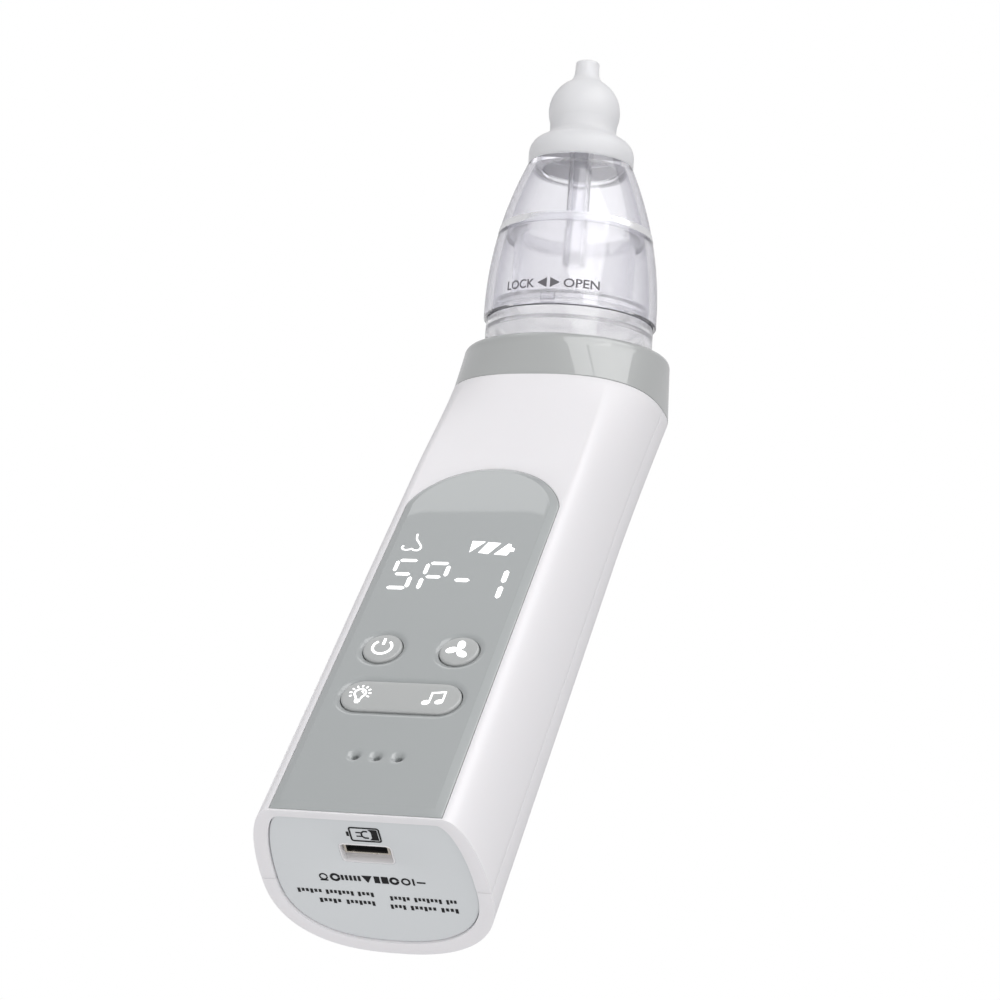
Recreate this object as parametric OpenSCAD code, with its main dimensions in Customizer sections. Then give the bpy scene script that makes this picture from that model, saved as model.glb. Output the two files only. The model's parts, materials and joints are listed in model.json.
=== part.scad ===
// Cordless nasal aspirator: a bent-neck handle with a pump, battery and display,
// and a clear twist-off collection head with a soft nozzle.
// Millimetres. Origin: centre of the base. +Z runs up the handle, and the panel faces -Y.

/* [Handle] */
// Width of the handle
body_w = 38; // [37:0.5:40]
// Depth of the handle, panel face to back
body_d = 30.9; // [30.5:0.1:32]
// Wall thickness of the casing
wall = 1.8; // [1.6:0.1:2.0]
// Width of the flat front that carries the panel
flat_w = 28.4; // [28:0.1:29]
// Height of the front edge of the collar joint
joint_front_z = 114; // [113.5:0.5:115]
// Slope of the collar joint, degrees
joint_slope = 35; // [34:0.5:36]

/* [Head] */
// Forward lean of the head, degrees
head_tilt = 41; // [40.5:0.1:41.5]
// Height of the centre of the collar's top face
neck_z = 133.8; // [133.5:0.1:134.2]
// Distance of that centre in front of the handle's middle
neck_forward = 6.55; // [6.3:0.05:6.8]
// Outer radius of the collar
collar_r = 20; // [19.8:0.1:20.2]
// Widest radius of the clear bell
bell_r = 16.85; // [16.7:0.05:17]
// Height of the bell's lower lip above the collar
bell_lip_h = 6.2; // [6:0.1:6.4]
// Height of the bell's shoulder above the collar
bell_top_h = 38.1; // [38:0.1:38.4]
// Radius of the bell's profile arc
bell_arc = 73.6; // [72:0.2:76]
// Wall thickness of the bell
bell_wall = 1.5; // [1.4:0.05:1.55]
// Turn of the bell from locked to open, degrees
twist_angle = 25; // [20:1:28]

/* [Controls] */
// Height of the two round keys
key_z = 37; // [36.5:0.1:38]
// Sideways distance of the round keys from the middle
key_x = 6.6; // [6.4:0.1:6.8]
// Radius of the round keys
key_r = 3.3; // [3.2:0.05:3.4]
// Height of the light and music key
rocker_z = 25.6; // [25.4:0.1:26]
// Half length of the light and music key
rocker_half = 10.1; // [10:0.1:10.2]
// Half height of the light and music key
rocker_r = 3.4; // [3.3:0.05:3.5]
// Height of the sound holes
sound_z = 12.2; // [12:0.1:13]

/* [Pump] */
// Radius of the motor can
motor_r = 10.2; // [10:0.1:10.3]
// Radius of the pump head
pump_r = 11; // [10.8:0.1:11]
// Lean of the crank pin that makes the plate wobble, degrees
wobble = 7; // [5:0.5:7]

/* [Hidden] */
$fn = 64;

half_d = body_d / 2;
front_y = -half_d;
seam = 0.05;          // half of the gap between the two shells
belly_n = 2.44;       // fullness of the handle's back
arc_steps = 16;       // straight steps in each quarter of the handle's outline
flare_z = 88;         // where the handle starts to blend into the round collar
joint_r = collar_r + 0.05;
// the head's axis meets the collar joint at this distance below the collar's top face
joint_drop = (neck_z - joint_front_z - (half_d - neck_forward) * tan(joint_slope))
    / (cos(head_tilt) + sin(head_tilt) * tan(joint_slope));
joint_mid_y = joint_drop * sin(head_tilt) - neck_forward;
// the joint's section: a squarish oval whose middle lies a little in front of the head's axis
section_n = 2.6;
section_half = joint_r + 0.35;
section_y = (-0.8 - joint_mid_y) / cos(joint_slope);
far = 200;            // longer than anything that it cuts
eps = 0.01;
screw_x = 12.3;

// ---- panel, board and key depths, all measured along Y ----
panel_t = 1;
field_y = front_y - 0.6;
field_inset = 1.5;
key_dish = 0.35;
floor_t = 1.3;
panel_back_y = front_y + panel_t;
floor_back_y = panel_back_y + floor_t;
board_y = -9.6;
board_t = 1;
board_back_y = board_y + board_t;
switch_h = 2;
plunger_tip_y = board_y - switch_h - 0.7;
key_gap = 0.15;
rocker_axis_y = -12.7;
pusher_x = 7;
panel_half = flat_w / 2 - 0.2;
arch_r = 14.6;
panel_top_z = 86;
panel_foot_z = 0.4;

// ---- base and socket ----
base_t = 1.6;
base_recess = 0.35;
rim_w = 2.5;
rim_lead = 1.1;       // how much narrower the rim is at the front
usb_y = -7.35;
port_y = -6.6;

// ---- pump stack, from the bottom up ----
pump_y = 2.5;
cell_r = 7;
cell_z = 5.5;
cell_len = 49;
cap_z = 57.5;
can_z = 60;
can_len = 25;
can_top = can_z + can_len;
housing_h = 13;
housing_top = can_top + housing_h;
diaphragm_t = 1.2;
valve_t = 2.5;
cover_z = housing_top + diaphragm_t + valve_t;
cover_h = 5;
cover_top = cover_z + cover_h;
nipple_r = 1.6;
nipple_h = 4;
wobble_z = can_top + 7.6;     // point where the leaning pin crosses the shaft's axis
shaft_r = 1;
chambers = 3;
chamber_r = 5.9;

// ---- head, all heights measured along its own axis from the collar's top face ----
socket_r = 16.6;
ring_r = 16.3;
cup_neck_r = 15.0;
cup_r = 12;
cup_wall = 1.3;
cup_floor_h = 8;
band_h = 23.3;
band_t = 1.8;
boss_r = 9.2;
boss_h = 42;
tube_r = 2.2;
tube_bore_r = 1.3;
port_h = -7;
port_t = 1.5;
hose_r = 2.6;
hose_bend = 8;
lug_count = 3;
lug_w = 10;           // degrees
nozzle_skirt_h = bell_top_h + 0.1;

// ---------------------------------------------------------------- helpers

// Half of the handle's outline at an inset t, from the front middle round to the back middle.
// The front keeps a smaller inset when it has a lead.
function side_points(t, lead) = concat(
    [for (i = [0:arc_steps]) let (a = 90 * i / arc_steps)
        [flat_w / 2 - 0.6 * t + (body_w / 2 - flat_w / 2 - 0.4 * t) * sin(a), -(half_d - t + lead) * cos(a)]],
    [for (i = [1:arc_steps - 1]) let (a = 90 * i / arc_steps)
        [(body_w / 2 - t) * pow(cos(a), 2 / belly_n), (half_d - t) * pow(sin(a), 2 / belly_n)]],
    [[0, half_d - t]]
);

module outline(t = 0, lead = 0) {
    right = side_points(t, lead);
    polygon(concat(right, [for (i = [len(right) - 2:-1:0]) [-right[i][0], right[i][1]]]));
}

// Puts its children in the collar joint's plane, with Z along the plane's normal.
module at_joint() {
    translate([0, joint_mid_y, joint_front_z + (joint_mid_y + half_d) * tan(joint_slope)])
        rotate([joint_slope, 0, 0]) children();
}

function signed_pow(v, n) = sign(v) * pow(abs(v), n);

// Outline where the handle meets the collar, at an inset t, in the joint's plane.
module joint_section(t = 0) {
    polygon([for (i = [0:63]) let (a = 360 * i / 64) [
        (joint_r - t) * signed_pow(cos(a), 2 / section_n),
        section_y + (section_half - t) * signed_pow(sin(a), 2 / section_n)
    ]]);
}

// Puts its children on the head's axis, with Z along it and 0 on the collar's top face.
module on_head(h = 0) {
    translate([0, -neck_forward, neck_z]) rotate([head_tilt, 0, 0]) translate([0, 0, h]) children();
}

module ring(r_out, r_in, h) {
    difference() {
        cylinder(r = r_out, h = h);
        translate([0, 0, -eps]) cylinder(r = r_in, h = h + 2 * eps);
    }
}

// A bar between two heights with its round axis along Y, from y0 back to y1.
module y_rod(r, y0, y1) {
    translate([0, y0, 0]) rotate([-90, 0, 0]) cylinder(r = r, h = y1 - y0);
}

// A flat pill lying in the panel's plane, from y0 back to y1.
module y_pill(half, r, y0, y1) {
    for (s = [-1, 1]) translate([s * (half - r), 0, 0]) y_rod(r, y0, y1);
    translate([r - half, y0, -r]) cube([2 * (half - r), y1 - y0, 2 * r]);
}

module pump_axis(z = 0) { translate([0, pump_y, z]) children(); }

// ---------------------------------------------------------------- casing

module handle_solid() {
    intersection() {
        hull() {
            translate([0, 0, -1]) linear_extrude(flare_z + 1) outline();
            at_joint() translate([0, 0, -0.35]) linear_extrude(0.3) joint_section();
        }
        translate([-far / 2, -far / 2, 0]) cube(far);
    }
}

module below_joint() {
    at_joint() translate([-far / 2, -far / 2, -far]) cube(far);
}

ledge_z = base_recess + base_t;

// Hollow of the handle, with a ledge above the base plate.
module handle_hollow() {
    translate([0, 0, ledge_z + 1]) linear_extrude(far) outline(wall);
    translate([0, 0, -1]) linear_extrude(ledge_z + 3) outline(rim_w + 0.9);
}

module panel_shape(y0, y1, grow = 0) {
    half = panel_half + grow;
    spring_z = panel_top_z - arch_r + sqrt(pow(arch_r, 2) - pow(panel_half, 2));
    translate([0, y1, 0]) rotate([90, 0, 0]) linear_extrude(y1 - y0) intersection() {
        union() {
            translate([-half, panel_foot_z - grow]) square([2 * half, spring_z - panel_foot_z + grow]);
            translate([0, panel_top_z - arch_r]) circle(r = arch_r + grow, $fn = 128);
        }
        translate([-half, panel_foot_z - grow]) square([2 * half, panel_top_z]);
    }
}

module case_screw_places() {
    for (s = [-1, 1], z = [7, 74.5]) translate([s * screw_x, 0, z]) children();
}

module front_shell() {
    color("white") difference() {
        union() {
            difference() {
                handle_solid();
                difference() {
                    handle_hollow();
                    // the floor behind the panel
                    translate([-far / 2, front_y, 0]) cube([far, panel_t + floor_t, flare_z + 4]);
                }
            }
            // bearing blocks of the light and music key
            for (s = [-1, 1]) translate([-1.6, floor_back_y - 1, rocker_z + s * 5.3 - 1])
                cube([3.2, 2.3, 2]);
            // posts that the board is screwed to
            board_screw_places() y_rod(1.9, floor_back_y - eps, board_y);
        }
        translate([-far / 2, -seam, -1]) cube([far, far, far]);
        panel_shape(front_y - 5, panel_back_y, 0.1);
        base_opening();
        // openings in the floor for the keys, the display and the sound
        for (s = [-1, 1]) translate([s * key_x, 0, key_z]) y_rod(key_r + 1, front_y, floor_back_y + 1);
        translate([0, 0, rocker_z]) y_pill(rocker_half + 0.9, rocker_r + 0.9, front_y, floor_back_y + 0.2);
        translate([-12.3, front_y, 49.7]) cube([24.6, 6, 18.6]);
        translate([0, 0, sound_z]) y_rod(6.6, front_y, floor_back_y + 1);
        translate([0, rocker_axis_y, rocker_z - 7]) cylinder(r = 0.75, h = 14, $fn = 32);
        case_screw_places() y_rod(1.1, front_y, 0);
        case_screw_places() y_rod(1.6, front_y, panel_back_y + 0.6);
        board_screw_places() y_rod(0.85, floor_back_y - 0.4, board_y + 1);
    }
}

module base_opening() {
    translate([0, 0, -1]) linear_extrude(ledge_z + 1) outline(rim_w - 0.1, rim_lead);
}

module rear_shell() {
    color("white") difference() {
        union() {
            difference() {
                handle_solid();
                handle_hollow();
            }
            // screw bosses, each on a web that roots it in the wall
            case_screw_places() y_rod(1.8, seam, 11.5);
            for (s = [0, 1], z = [7, 74.5]) mirror([s, 0, 0]) translate([screw_x, seam, z - 0.7])
                cube([5.2, 5, 1.4]);
        }
        translate([-far / 2, seam - far, -1]) cube([far, far, far]);
        base_opening();
        case_screw_places() y_rod(0.8, -1, 8);
        exhaust_slots();
    }
}

// Slots in the back that let the pumped air out.
module exhaust_slots() {
    for (i = [-2:2]) translate([0, half_d - 3, 110 + 3.2 * i]) rotate([-90, 0, 0]) linear_extrude(7)
        union() {
            square([8, 1.2], center = true);
            for (s = [-1, 1]) translate([4 * s, 0]) circle(r = 0.6, $fn = 24);
        }
}

module base_plate() {
    color("lightgray") difference() {
        union() {
            translate([0, 0, base_recess]) linear_extrude(base_t) outline(rim_w, rim_lead);
            // snap rails on the inside of the plate
            for (s = [-1, 1]) translate([s * 11 - 1, 0, ledge_z - eps]) cube([2, 6, 2]);
        }
        // the socket's opening, rounded at its ends
        translate([0, port_y, -1]) linear_extrude(6) union() {
            square([7, 4.1], center = true);
            for (s = [-1, 1], t = [-1, 1]) translate([3.5 * s, 1.15 * t]) circle(r = 0.9, $fn = 24);
            square([8.8, 2.3], center = true);
        }
    }
}

// A plateau whose edge steps down to the handle, with a shallow dish round each key.
module front_panel() {
    steps = 3;
    lip_y = front_y - 0.1;
    color("darkgray") difference() {
        union() {
            panel_shape(lip_y, panel_back_y - eps);
            for (i = [1:steps]) panel_shape(lip_y + (field_y - lip_y) * i / steps, front_y, -field_inset * i / steps);
        }
        for (s = [-1, 1]) translate([s * key_x, 0, key_z]) {
            y_rod(key_r + key_gap, field_y - 1, panel_back_y + 1);
            y_rod(key_r + 0.7, field_y - 1, field_y + key_dish);
        }
        translate([0, 0, rocker_z]) {
            y_pill(rocker_half + key_gap, rocker_r + key_gap, field_y - 1, panel_back_y + 1);
            y_pill(rocker_half + 0.7, rocker_r + 0.7, field_y - 1, field_y + key_dish);
        }
        for (i = [-1:1]) translate([3.6 * i, 0, sound_z]) {
            y_rod(0.5, field_y - 1, panel_back_y + 1);
            y_rod(1.1, field_y - 1, field_y + 0.5);
        }
    }
}

module case_screws() {
    color("silver") case_screw_places() difference() {
        union() {
            y_rod(1.5, panel_back_y + 0.05, panel_back_y + 0.55);
            y_rod(0.95, panel_back_y + 0.3, -seam);
            y_rod(0.75, -seam - 0.1, 7);
        }
        for (a = [0, 90]) translate([0, panel_back_y, 0]) rotate([0, a, 0])
            translate([-0.9, -1, -0.2]) cube([1.8, 1.3, 0.4]);
    }
}

module collar() {
    plate_t = 1.6;
    color("darkgray") difference() {
        union() {
            difference() {
                union() {
                    collar_skin();
                    // the socket's wall and the lip under it
                    on_head() rotate_extrude($fn = 96) {
                        translate([socket_r, port_h - 1.2]) square([1.3, 1.2 - port_h - 1]);
                        translate([13.4, port_h - 1.2]) square([socket_r - 13.3, 1.2]);
                    }
                }
                below_joint();
            }
            // plate that closes onto the two shells
            at_joint() linear_extrude(plate_t) joint_section(1);
            collar_tongue();
        }
        intersection() {
            linear_extrude(far) outline(wall + 1.4);
            at_joint() translate([0, 0, -far / 2]) cylinder(r = collar_r - 1.9, h = far / 2 + plate_t + eps);
        }
        on_head(port_h) cylinder(r = socket_r, h = 20);
    }
}

// The collar's skin runs from the joint's squarish oval to a round top with a soft edge.
module collar_skin() {
    edge = 1.6;
    skin = 1.9;
    difference() {
        hull() {
            for (a = [0, 30, 60, 90]) on_head(-edge + edge * sin(a) - 0.02)
                cylinder(r = collar_r - edge + edge * cos(a), h = 0.02, $fn = 48);
            at_joint() linear_extrude(0.02) joint_section();
        }
        hull() {
            on_head(-skin - 0.02) cylinder(r = collar_r - skin, h = 0.02, $fn = 48);
            at_joint() translate([0, 0, -1]) linear_extrude(0.1) joint_section(skin);
        }
    }
}

// The lip that drops inside the two shells and holds them together.
module collar_tongue() {
    intersection() {
        linear_extrude(far) outline(wall + 0.1);
        at_joint() translate([0, 0, -3]) cylinder(r = collar_r + 4, h = 3.4);
    }
}

// ---------------------------------------------------------------- controls

module round_key(x) {
    color("darkgray") translate([x, 0, key_z]) {
        y_rod(key_r, field_y - 0.15, panel_back_y + 0.1);
        y_rod(key_r + 0.8, panel_back_y + 0.05, panel_back_y + 0.75);
        y_rod(1.2, panel_back_y + 0.5, plunger_tip_y - 0.02);
    }
}

module rocker_key() {
    color("darkgray") translate([0, 0, rocker_z]) difference() {
        union() {
            y_pill(rocker_half, rocker_r, field_y - 0.15, panel_back_y + 0.5);
            y_pill(rocker_half + 0.3, rocker_r + 0.5, panel_back_y + 0.45, rocker_axis_y + 0.2);
            // the two pins that the key rocks on
            translate([0, rocker_axis_y, -6]) cylinder(r = 0.7, h = 12, $fn = 32);
            for (s = [-1, 1]) translate([s * pusher_x, 0, 0])
                y_rod(1.1, rocker_axis_y, plunger_tip_y - 0.08);
        }
    }
}

module main_board() {
    color("darkgreen") difference() {
        translate([-12.6, board_y, 3.2]) cube([25.2, board_t, 64.8]);
        board_screw_places() y_rod(1.1, board_y - 1, 0);
        // notches that clear the casing screws
        for (s = [-1, 1]) translate([s * screw_x, 0, 7]) y_rod(2.5, board_y - 1, 0);
    }
}

module board_screw_places() {
    for (s = [-1, 1]) translate([s * 11, 0, 20]) children();
    for (s = [-1, 1]) translate([s * 11.2, 0, 46.8]) children();
}

module board_screws() {
    color("silver") board_screw_places() {
        y_rod(1.7, board_back_y, board_back_y + 1);
        y_rod(0.8, floor_back_y + 0.1, board_back_y + 0.2);
    }
}

module board_chips() {
    color("black") {
        translate([-3, board_back_y, 34]) cube([6, 1.2, 8]);
        translate([-9, board_back_y, 26]) cube([4, 1, 4]);
        translate([4.6, board_back_y, 27]) cube([3, 0.9, 5]);
        for (i = [0:3]) translate([-10.5, board_back_y, 33 + 3 * i]) cube([1.6, 0.6, 1.2]);
    }
}

module display_module() {
    color("dimgray") difference() {
        translate([-12, panel_back_y + 0.15, 50]) cube([24, board_y - panel_back_y - 0.15, 18]);
        for (x = [-9.1, -3.5, 2.1, 7.7]) translate([x - 2.4, panel_back_y, 51.8]) cube([4.8, 0.6, 9.4]);
    }
}

module switch_places() {
    for (s = [-1, 1]) translate([s * key_x, 0, key_z]) children();
    for (s = [-1, 1]) translate([s * pusher_x, 0, rocker_z]) children();
}

module switch_housings() {
    color("silver") switch_places() difference() {
        translate([-2.25, board_y - switch_h, -2.25]) cube([4.5, switch_h, 4.5]);
        y_rod(1.05, board_y - switch_h - 1, board_y - 0.5);
    }
}

module plunger(x, z) {
    color("black") translate([x, 0, z]) y_rod(1, plunger_tip_y, board_y - 1.2);
}

module speaker() {
    color("dimgray") translate([0, 0, sound_z]) difference() {
        y_rod(6.4, panel_back_y + 0.2, board_y - 0.02);
        translate([0, 0, 0]) y_rod(5.4, panel_back_y, panel_back_y + 1.2);
    }
}

module usb_shell() {
    color("silver") translate([0, usb_y, 0.9]) difference() {
        linear_extrude(5.6) union() {
            translate([-3.75, -0.4]) square([7.5, 1.6]);
            polygon([[-3.75, -0.35], [3.75, -0.35], [2.9, -1.2], [-2.9, -1.2]]);
        }
        translate([0, 0, -1]) linear_extrude(5.8) union() {
            translate([-3.4, -0.35]) square([6.8, 1.25]);
            polygon([[-3.4, -0.3], [3.4, -0.3], [2.7, -0.9], [-2.7, -0.9]]);
        }
    }
}

module usb_tongue() {
    color("black") translate([-2.6, usb_y - 0.35, 1.7]) cube([5.2, 0.6, 4]);
}

// ---------------------------------------------------------------- frame, battery, motor

module inner_frame() {
    rib_x = 15.4;
    color("white") difference() {
        union() {
            // cradle for the cell
            translate([-8.4, pump_y - 1, cell_z - 1.6]) cube([16.8, 9.7, cell_len + 3.2]);
            // shelf that carries the motor
            translate([-rib_x, pump_y - 4.5, cap_z - 2.2]) cube([2 * rib_x, 9, 1.4]);
            // ring round the can
            pump_axis(can_z + 2) cylinder(r = motor_r + 0.85, h = 4);
        }
        pump_axis(cell_z - 0.05) cylinder(r = cell_r + 0.45, h = cell_len + 0.1);
        translate([-7.45, pump_y - 5, cell_z - 0.05]) cube([14.9, 5, cell_len + 0.1]);
        pump_axis(can_z) cylinder(r = motor_r + 0.05, h = 10);
        for (s = [-1, 1]) translate([s * 12.2, pump_y, cap_z - 3]) cylinder(r = 1.2, h = 3);
    }
    // arms that join the ring to the shelf
    color("white") for (s = [-1, 1])
        translate([s * (motor_r + 0.9) - 0.8, pump_y - 2, cap_z - 0.9]) cube([1.6, 4, 7]);
}

module battery_cell() {
    color("steelblue") pump_axis(cell_z + 0.6) {
        cylinder(r = cell_r - 0.05, h = cell_len - 2.2);
        cylinder(r = 2.6, h = cell_len - 1.2);
    }
}

module battery_sleeve() {
    color("royalblue") pump_axis(cell_z + 1.2) ring(cell_r + 0.2, cell_r - 0.05, cell_len - 4.4);
}

// A wire that drops from the cell's end, then turns towards the board.
module lead(x, z, reach, drop) {
    translate([x, pump_y - cell_r - 1.2, z]) {
        cylinder(r = 0.5, h = drop, $fn = 24);
        rotate([90, 0, 0]) cylinder(r = 0.5, h = reach, $fn = 24);
        sphere(r = 0.5, $fn = 24);
    }
}

module battery_leads() {
    color("red") lead(5, 44, pump_y - cell_r - 1.2 - board_back_y, 9);
    color("black") lead(-5, 44, pump_y - cell_r - 1.2 - board_back_y, 9);
}

module motor_can() {
    color("silver") pump_axis(can_z) difference() {
        union() {
            cylinder(r = motor_r, h = can_len);
            translate([0, 0, can_len - eps]) cylinder(r = 3, h = 1.4);
        }
        translate([0, 0, -eps]) cylinder(r = motor_r - 0.7, h = can_len - 1);
        cylinder(r = shaft_r + 0.05, h = far);
    }
}

module motor_end_cap() {
    color("black") pump_axis(cap_z) difference() {
        union() {
            cylinder(r = motor_r - 0.2, h = can_z - cap_z);
            translate([0, 0, can_z - cap_z - eps]) cylinder(r = motor_r - 0.75, h = 1);
            for (s = [-1, 1]) translate([s * 3 - 1, -7.6, -0.7]) cube([2, 0.5, 3]);
        }
        translate([0, 0, 1]) cylinder(r = shaft_r + 0.05, h = 10);
    }
}

module motor_leads() {
    color("red") translate([3, 0, 0]) motor_lead();
    color("black") translate([-3, 0, 0]) motor_lead();
}

module motor_lead() {
    translate([0, board_back_y, 49.4]) {
        rotate([-90, 0, 0]) cylinder(r = 0.5, h = 2.9, $fn = 24);
        translate([0, 2.9, 0]) sphere(r = 0.5, $fn = 24);
        translate([0, 2.9, 0]) cylinder(r = 0.5, h = 7.9, $fn = 24);
    }
}

// Rubber ring that keeps the motor's hum out of the casing.
module motor_mount() {
    color("dimgray") pump_axis(can_top - 6) ring(motor_r + 0.9, motor_r + 0.02, 4);
}

module motor_shaft() {
    color("silver") pump_axis(cap_z + 1.2) cylinder(r = shaft_r, h = can_top - cap_z + 2.75);
}

// The crank turns a pin that leans across the shaft's axis.
module leaning(z = 0) {
    pump_axis(wobble_z) rotate([0, wobble, 0]) translate([0, 0, z]) children();
}

module crank_hub() {
    color("ivory") difference() {
        pump_axis(can_top + 1.7) cylinder(r = 3.6, h = 4.2);
        pump_axis(can_top) cylinder(r = shaft_r + 0.01, h = 4);
        leaning(-3.55) cylinder(r = 0.71, h = 6, $fn = 32);
    }
}

module crank_pin() {
    color("silver") leaning(-3.5) cylinder(r = 0.7, h = 4.6, $fn = 32);
}

module wobble_plate() {
    color("white") leaning() difference() {
        union() {
            translate([0, 0, -0.3]) cylinder(r = 2.2, h = 3);
            for (i = [0:chambers - 1]) rotate([0, 0, 120 * i + 90]) {
                translate([0, -1.1, 0]) cube([chamber_r, 2.2, 1.2]);
                translate([chamber_r, 0, 0]) cylinder(r = 1.7, h = 1.2);
            }
        }
        translate([0, 0, -1]) cylinder(r = 0.76, h = 2.2, $fn = 32);
    }
}

// ---------------------------------------------------------------- pump head

module pump_screw_places() {
    for (i = [0:chambers - 1]) rotate([0, 0, 120 * i + 30]) translate([9.2, 0, 0]) children();
}

module chamber_places() {
    for (i = [0:chambers - 1]) rotate([0, 0, 120 * i + 90]) translate([chamber_r, 0, 0]) children();
}

module pump_housing() {
    color("dimgray") pump_axis(can_top) difference() {
        cylinder(r = pump_r, h = housing_h);
        translate([0, 0, 1.6]) cylinder(r = 8, h = housing_h);
        translate([0, 0, 9.9]) chamber_places() cylinder(r = 3.1, h = 5);
        translate([0, 0, -1]) cylinder(r = 3.05, h = 5);
        translate([0, 0, 5]) pump_screw_places() cylinder(r = 0.72, h = 20, $fn = 24);
        // window for the air inside the crankcase
        translate([-2.5, 5, 3]) cube([5, 10, 4]);
    }
}

module diaphragm() {
    color("darkslategray") pump_axis(housing_top) difference() {
        union() {
            cylinder(r = pump_r, h = diaphragm_t);
            translate([0, 0, -2.9]) chamber_places() cylinder(r = 2.9, h = 2.9 + eps);
        }
        translate([0, 0, -2.1]) chamber_places() cylinder(r = 2.2, h = 10);
        pump_screw_places() translate([0, 0, -1]) cylinder(r = 1.05, h = 5, $fn = 24);
    }
}

module valve_plate() {
    color("white") pump_axis(housing_top + diaphragm_t) difference() {
        cylinder(r = pump_r, h = valve_t);
        chamber_places() translate([0, 0, -1]) cylinder(r = 0.6, h = 5, $fn = 24);
        chamber_places() translate([1.5, 0, -1]) cylinder(r = 0.4, h = 5, $fn = 24);
        pump_screw_places() translate([0, 0, -1]) cylinder(r = 1.05, h = 5, $fn = 24);
    }
}

// One thin rubber leaf over each chamber's outlet.
module valve_flaps() {
    color("black") pump_axis(cover_z) chamber_places() cylinder(r = 1.3, h = 0.4, $fn = 32);
}

module pump_cover() {
    color("dimgray") pump_axis(cover_z) difference() {
        union() {
            cylinder(r = pump_r, h = cover_h);
            translate([0, 0, cover_h - eps]) cylinder(r = nipple_r, h = nipple_h, $fn = 32);
        }
        translate([0, 0, -eps]) cylinder(r = 7.8, h = cover_h - 1.6);
        translate([0, 0, 1]) cylinder(r = 0.8, h = far, $fn = 32);
        translate([0, 6.2, 1]) cylinder(r = 1, h = far, $fn = 32);
        pump_screw_places() translate([0, 0, -1]) cylinder(r = 1.05, h = 10, $fn = 24);
    }
}

module pump_screws() {
    color("silver") pump_axis(cover_top) pump_screw_places() {
        difference() {
            cylinder(r = 1.6, h = 1);
            translate([-1.2, -0.2, 0.6]) cube([2.4, 0.4, 1]);
        }
        translate([0, 0, -16.5]) cylinder(r = 0.7, h = 16.5 + eps, $fn = 24);
    }
}

// The suction hose rises from the pump's nipple, then bends onto the head's axis.
bend_reach = hose_bend * tan(head_tilt / 2);
meet_s = (pump_y + neck_forward) / sin(head_tilt);
meet_z = neck_z - meet_s * cos(head_tilt);

// The hose's path as a solid rod; the bend is a little thinner or wider so that its ends are stepped.
module hose_rod(r, bend_r, past) {
    rise = meet_z - bend_reach - cover_top;
    lap = 0.1;
    pump_axis(cover_top - past) cylinder(r = r, h = rise + past + lap);
    translate([0, pump_y - hose_bend, meet_z - bend_reach]) rotate([90, 0, 90])
        rotate_extrude(angle = head_tilt) translate([hose_bend, 0]) circle(r = bend_r);
    on_head(bend_reach - meet_s - lap) cylinder(r = r, h = meet_s - bend_reach + port_h + lap + past);
}

module suction_hose() {
    color("ghostwhite") difference() {
        hose_rod(hose_r, hose_r - 0.05, 0);
        hose_rod(nipple_r + 0.02, nipple_r + 0.07, 1);
    }
}

// Foam that quietens the air between the pump's outlet and the slots.
module muffler_foam() {
    color("dimgray") translate([-5.8, pump_y + 5, cover_top + 0.1]) cube([11.6, half_d - wall - pump_y - 5.5, 9]);
}

// ---------------------------------------------------------------- head

// Radius of the bell's outside, or of a surface inset by t, at height h.
function bell_radius(h, t = 0) = bell_r - t - (bell_arc - sqrt(pow(bell_arc, 2) - pow(h - 8, 2)));

module suction_port() {
    color("white") on_head(port_h) difference() {
        union() {
            cylinder(r = ring_r, h = port_t);
            translate([0, 0, -4]) cylinder(r = nipple_r, h = 5, $fn = 32);
            translate([0, 0, port_t - eps]) ring(3.4, 2.4, 2.6);
        }
        translate([0, 0, -5]) cylinder(r = 0.9, h = 10, $fn = 32);
    }
}

module light_ring_board() {
    color("darkgreen") on_head(port_h + port_t) ring(14.2, 8, 1);
}

module night_leds() {
    color("lightyellow") on_head(port_h + port_t + 1) for (i = [0:5]) rotate([0, 0, 60 * i])
        translate([10.2, -1.4, 0]) cube([2.4, 2.8, 1]);
}

module filter_sponge() {
    color("lightsteelblue") on_head(port_h + port_t + 2.7) difference() {
        cylinder(r = 7.4, h = 4);
        translate([0, 0, -1]) cylinder(r = 1, h = 1.8, $fn = 32);
    }
}

module seat_oring() {
    color("ghostwhite") on_head(-2.5) rotate_extrude() translate([socket_r - 0.56, 0])
        circle(r = 0.54, $fn = 24);
}

module inner_cup() {
    step_h = bell_lip_h - 0.1;
    color("aliceblue", 0.5) on_head() difference() {
        union() {
            rotate_extrude($fn = 96) difference() {
                polygon([
                    [0, cup_floor_h], [14, cup_floor_h], [14, step_h - 1.4], [ring_r - 1.5, step_h - 2.4],
                    [ring_r - 1.5, -4.4], [ring_r, -4.4], [ring_r, step_h],
                    [cup_neck_r, step_h], [cup_neck_r, cup_floor_h + 1.5], [cup_r, cup_floor_h + 1.5],
                    [cup_r, band_h - 1.2], [cup_r + 0.8, band_h], [cup_r + 0.8, band_h + band_t],
                    [cup_r - cup_wall, band_h + band_t], [cup_r - cup_wall, cup_floor_h + 2.5],
                    [cup_r - cup_wall - 1, cup_floor_h + 1.5], [0, cup_floor_h + 1.5]
                ]);
                // groove for the sealing ring
                translate([socket_r - 1.12, -3.1]) square([2, 1.2]);
            }
            // bayonet lugs that hold the bell
            for (i = [0:lug_count - 1]) rotate([0, 0, 120 * i - 90 - lug_w / 2]) lug();
            // ribs that key the cup into the collar
            for (i = [0:lug_count - 1]) rotate([0, 0, 120 * i - 70])
                translate([ring_r - 2.6, -1, 0.4]) cube([1.4, 2, 4.4]);
        }
        // air passes from the outer gap to the pump through these holes
        for (i = [0:5]) rotate([0, 0, 60 * i + 30]) translate([13.1, 0, 0])
            cylinder(r = 0.7, h = 12, $fn = 24);
    }
}

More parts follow.
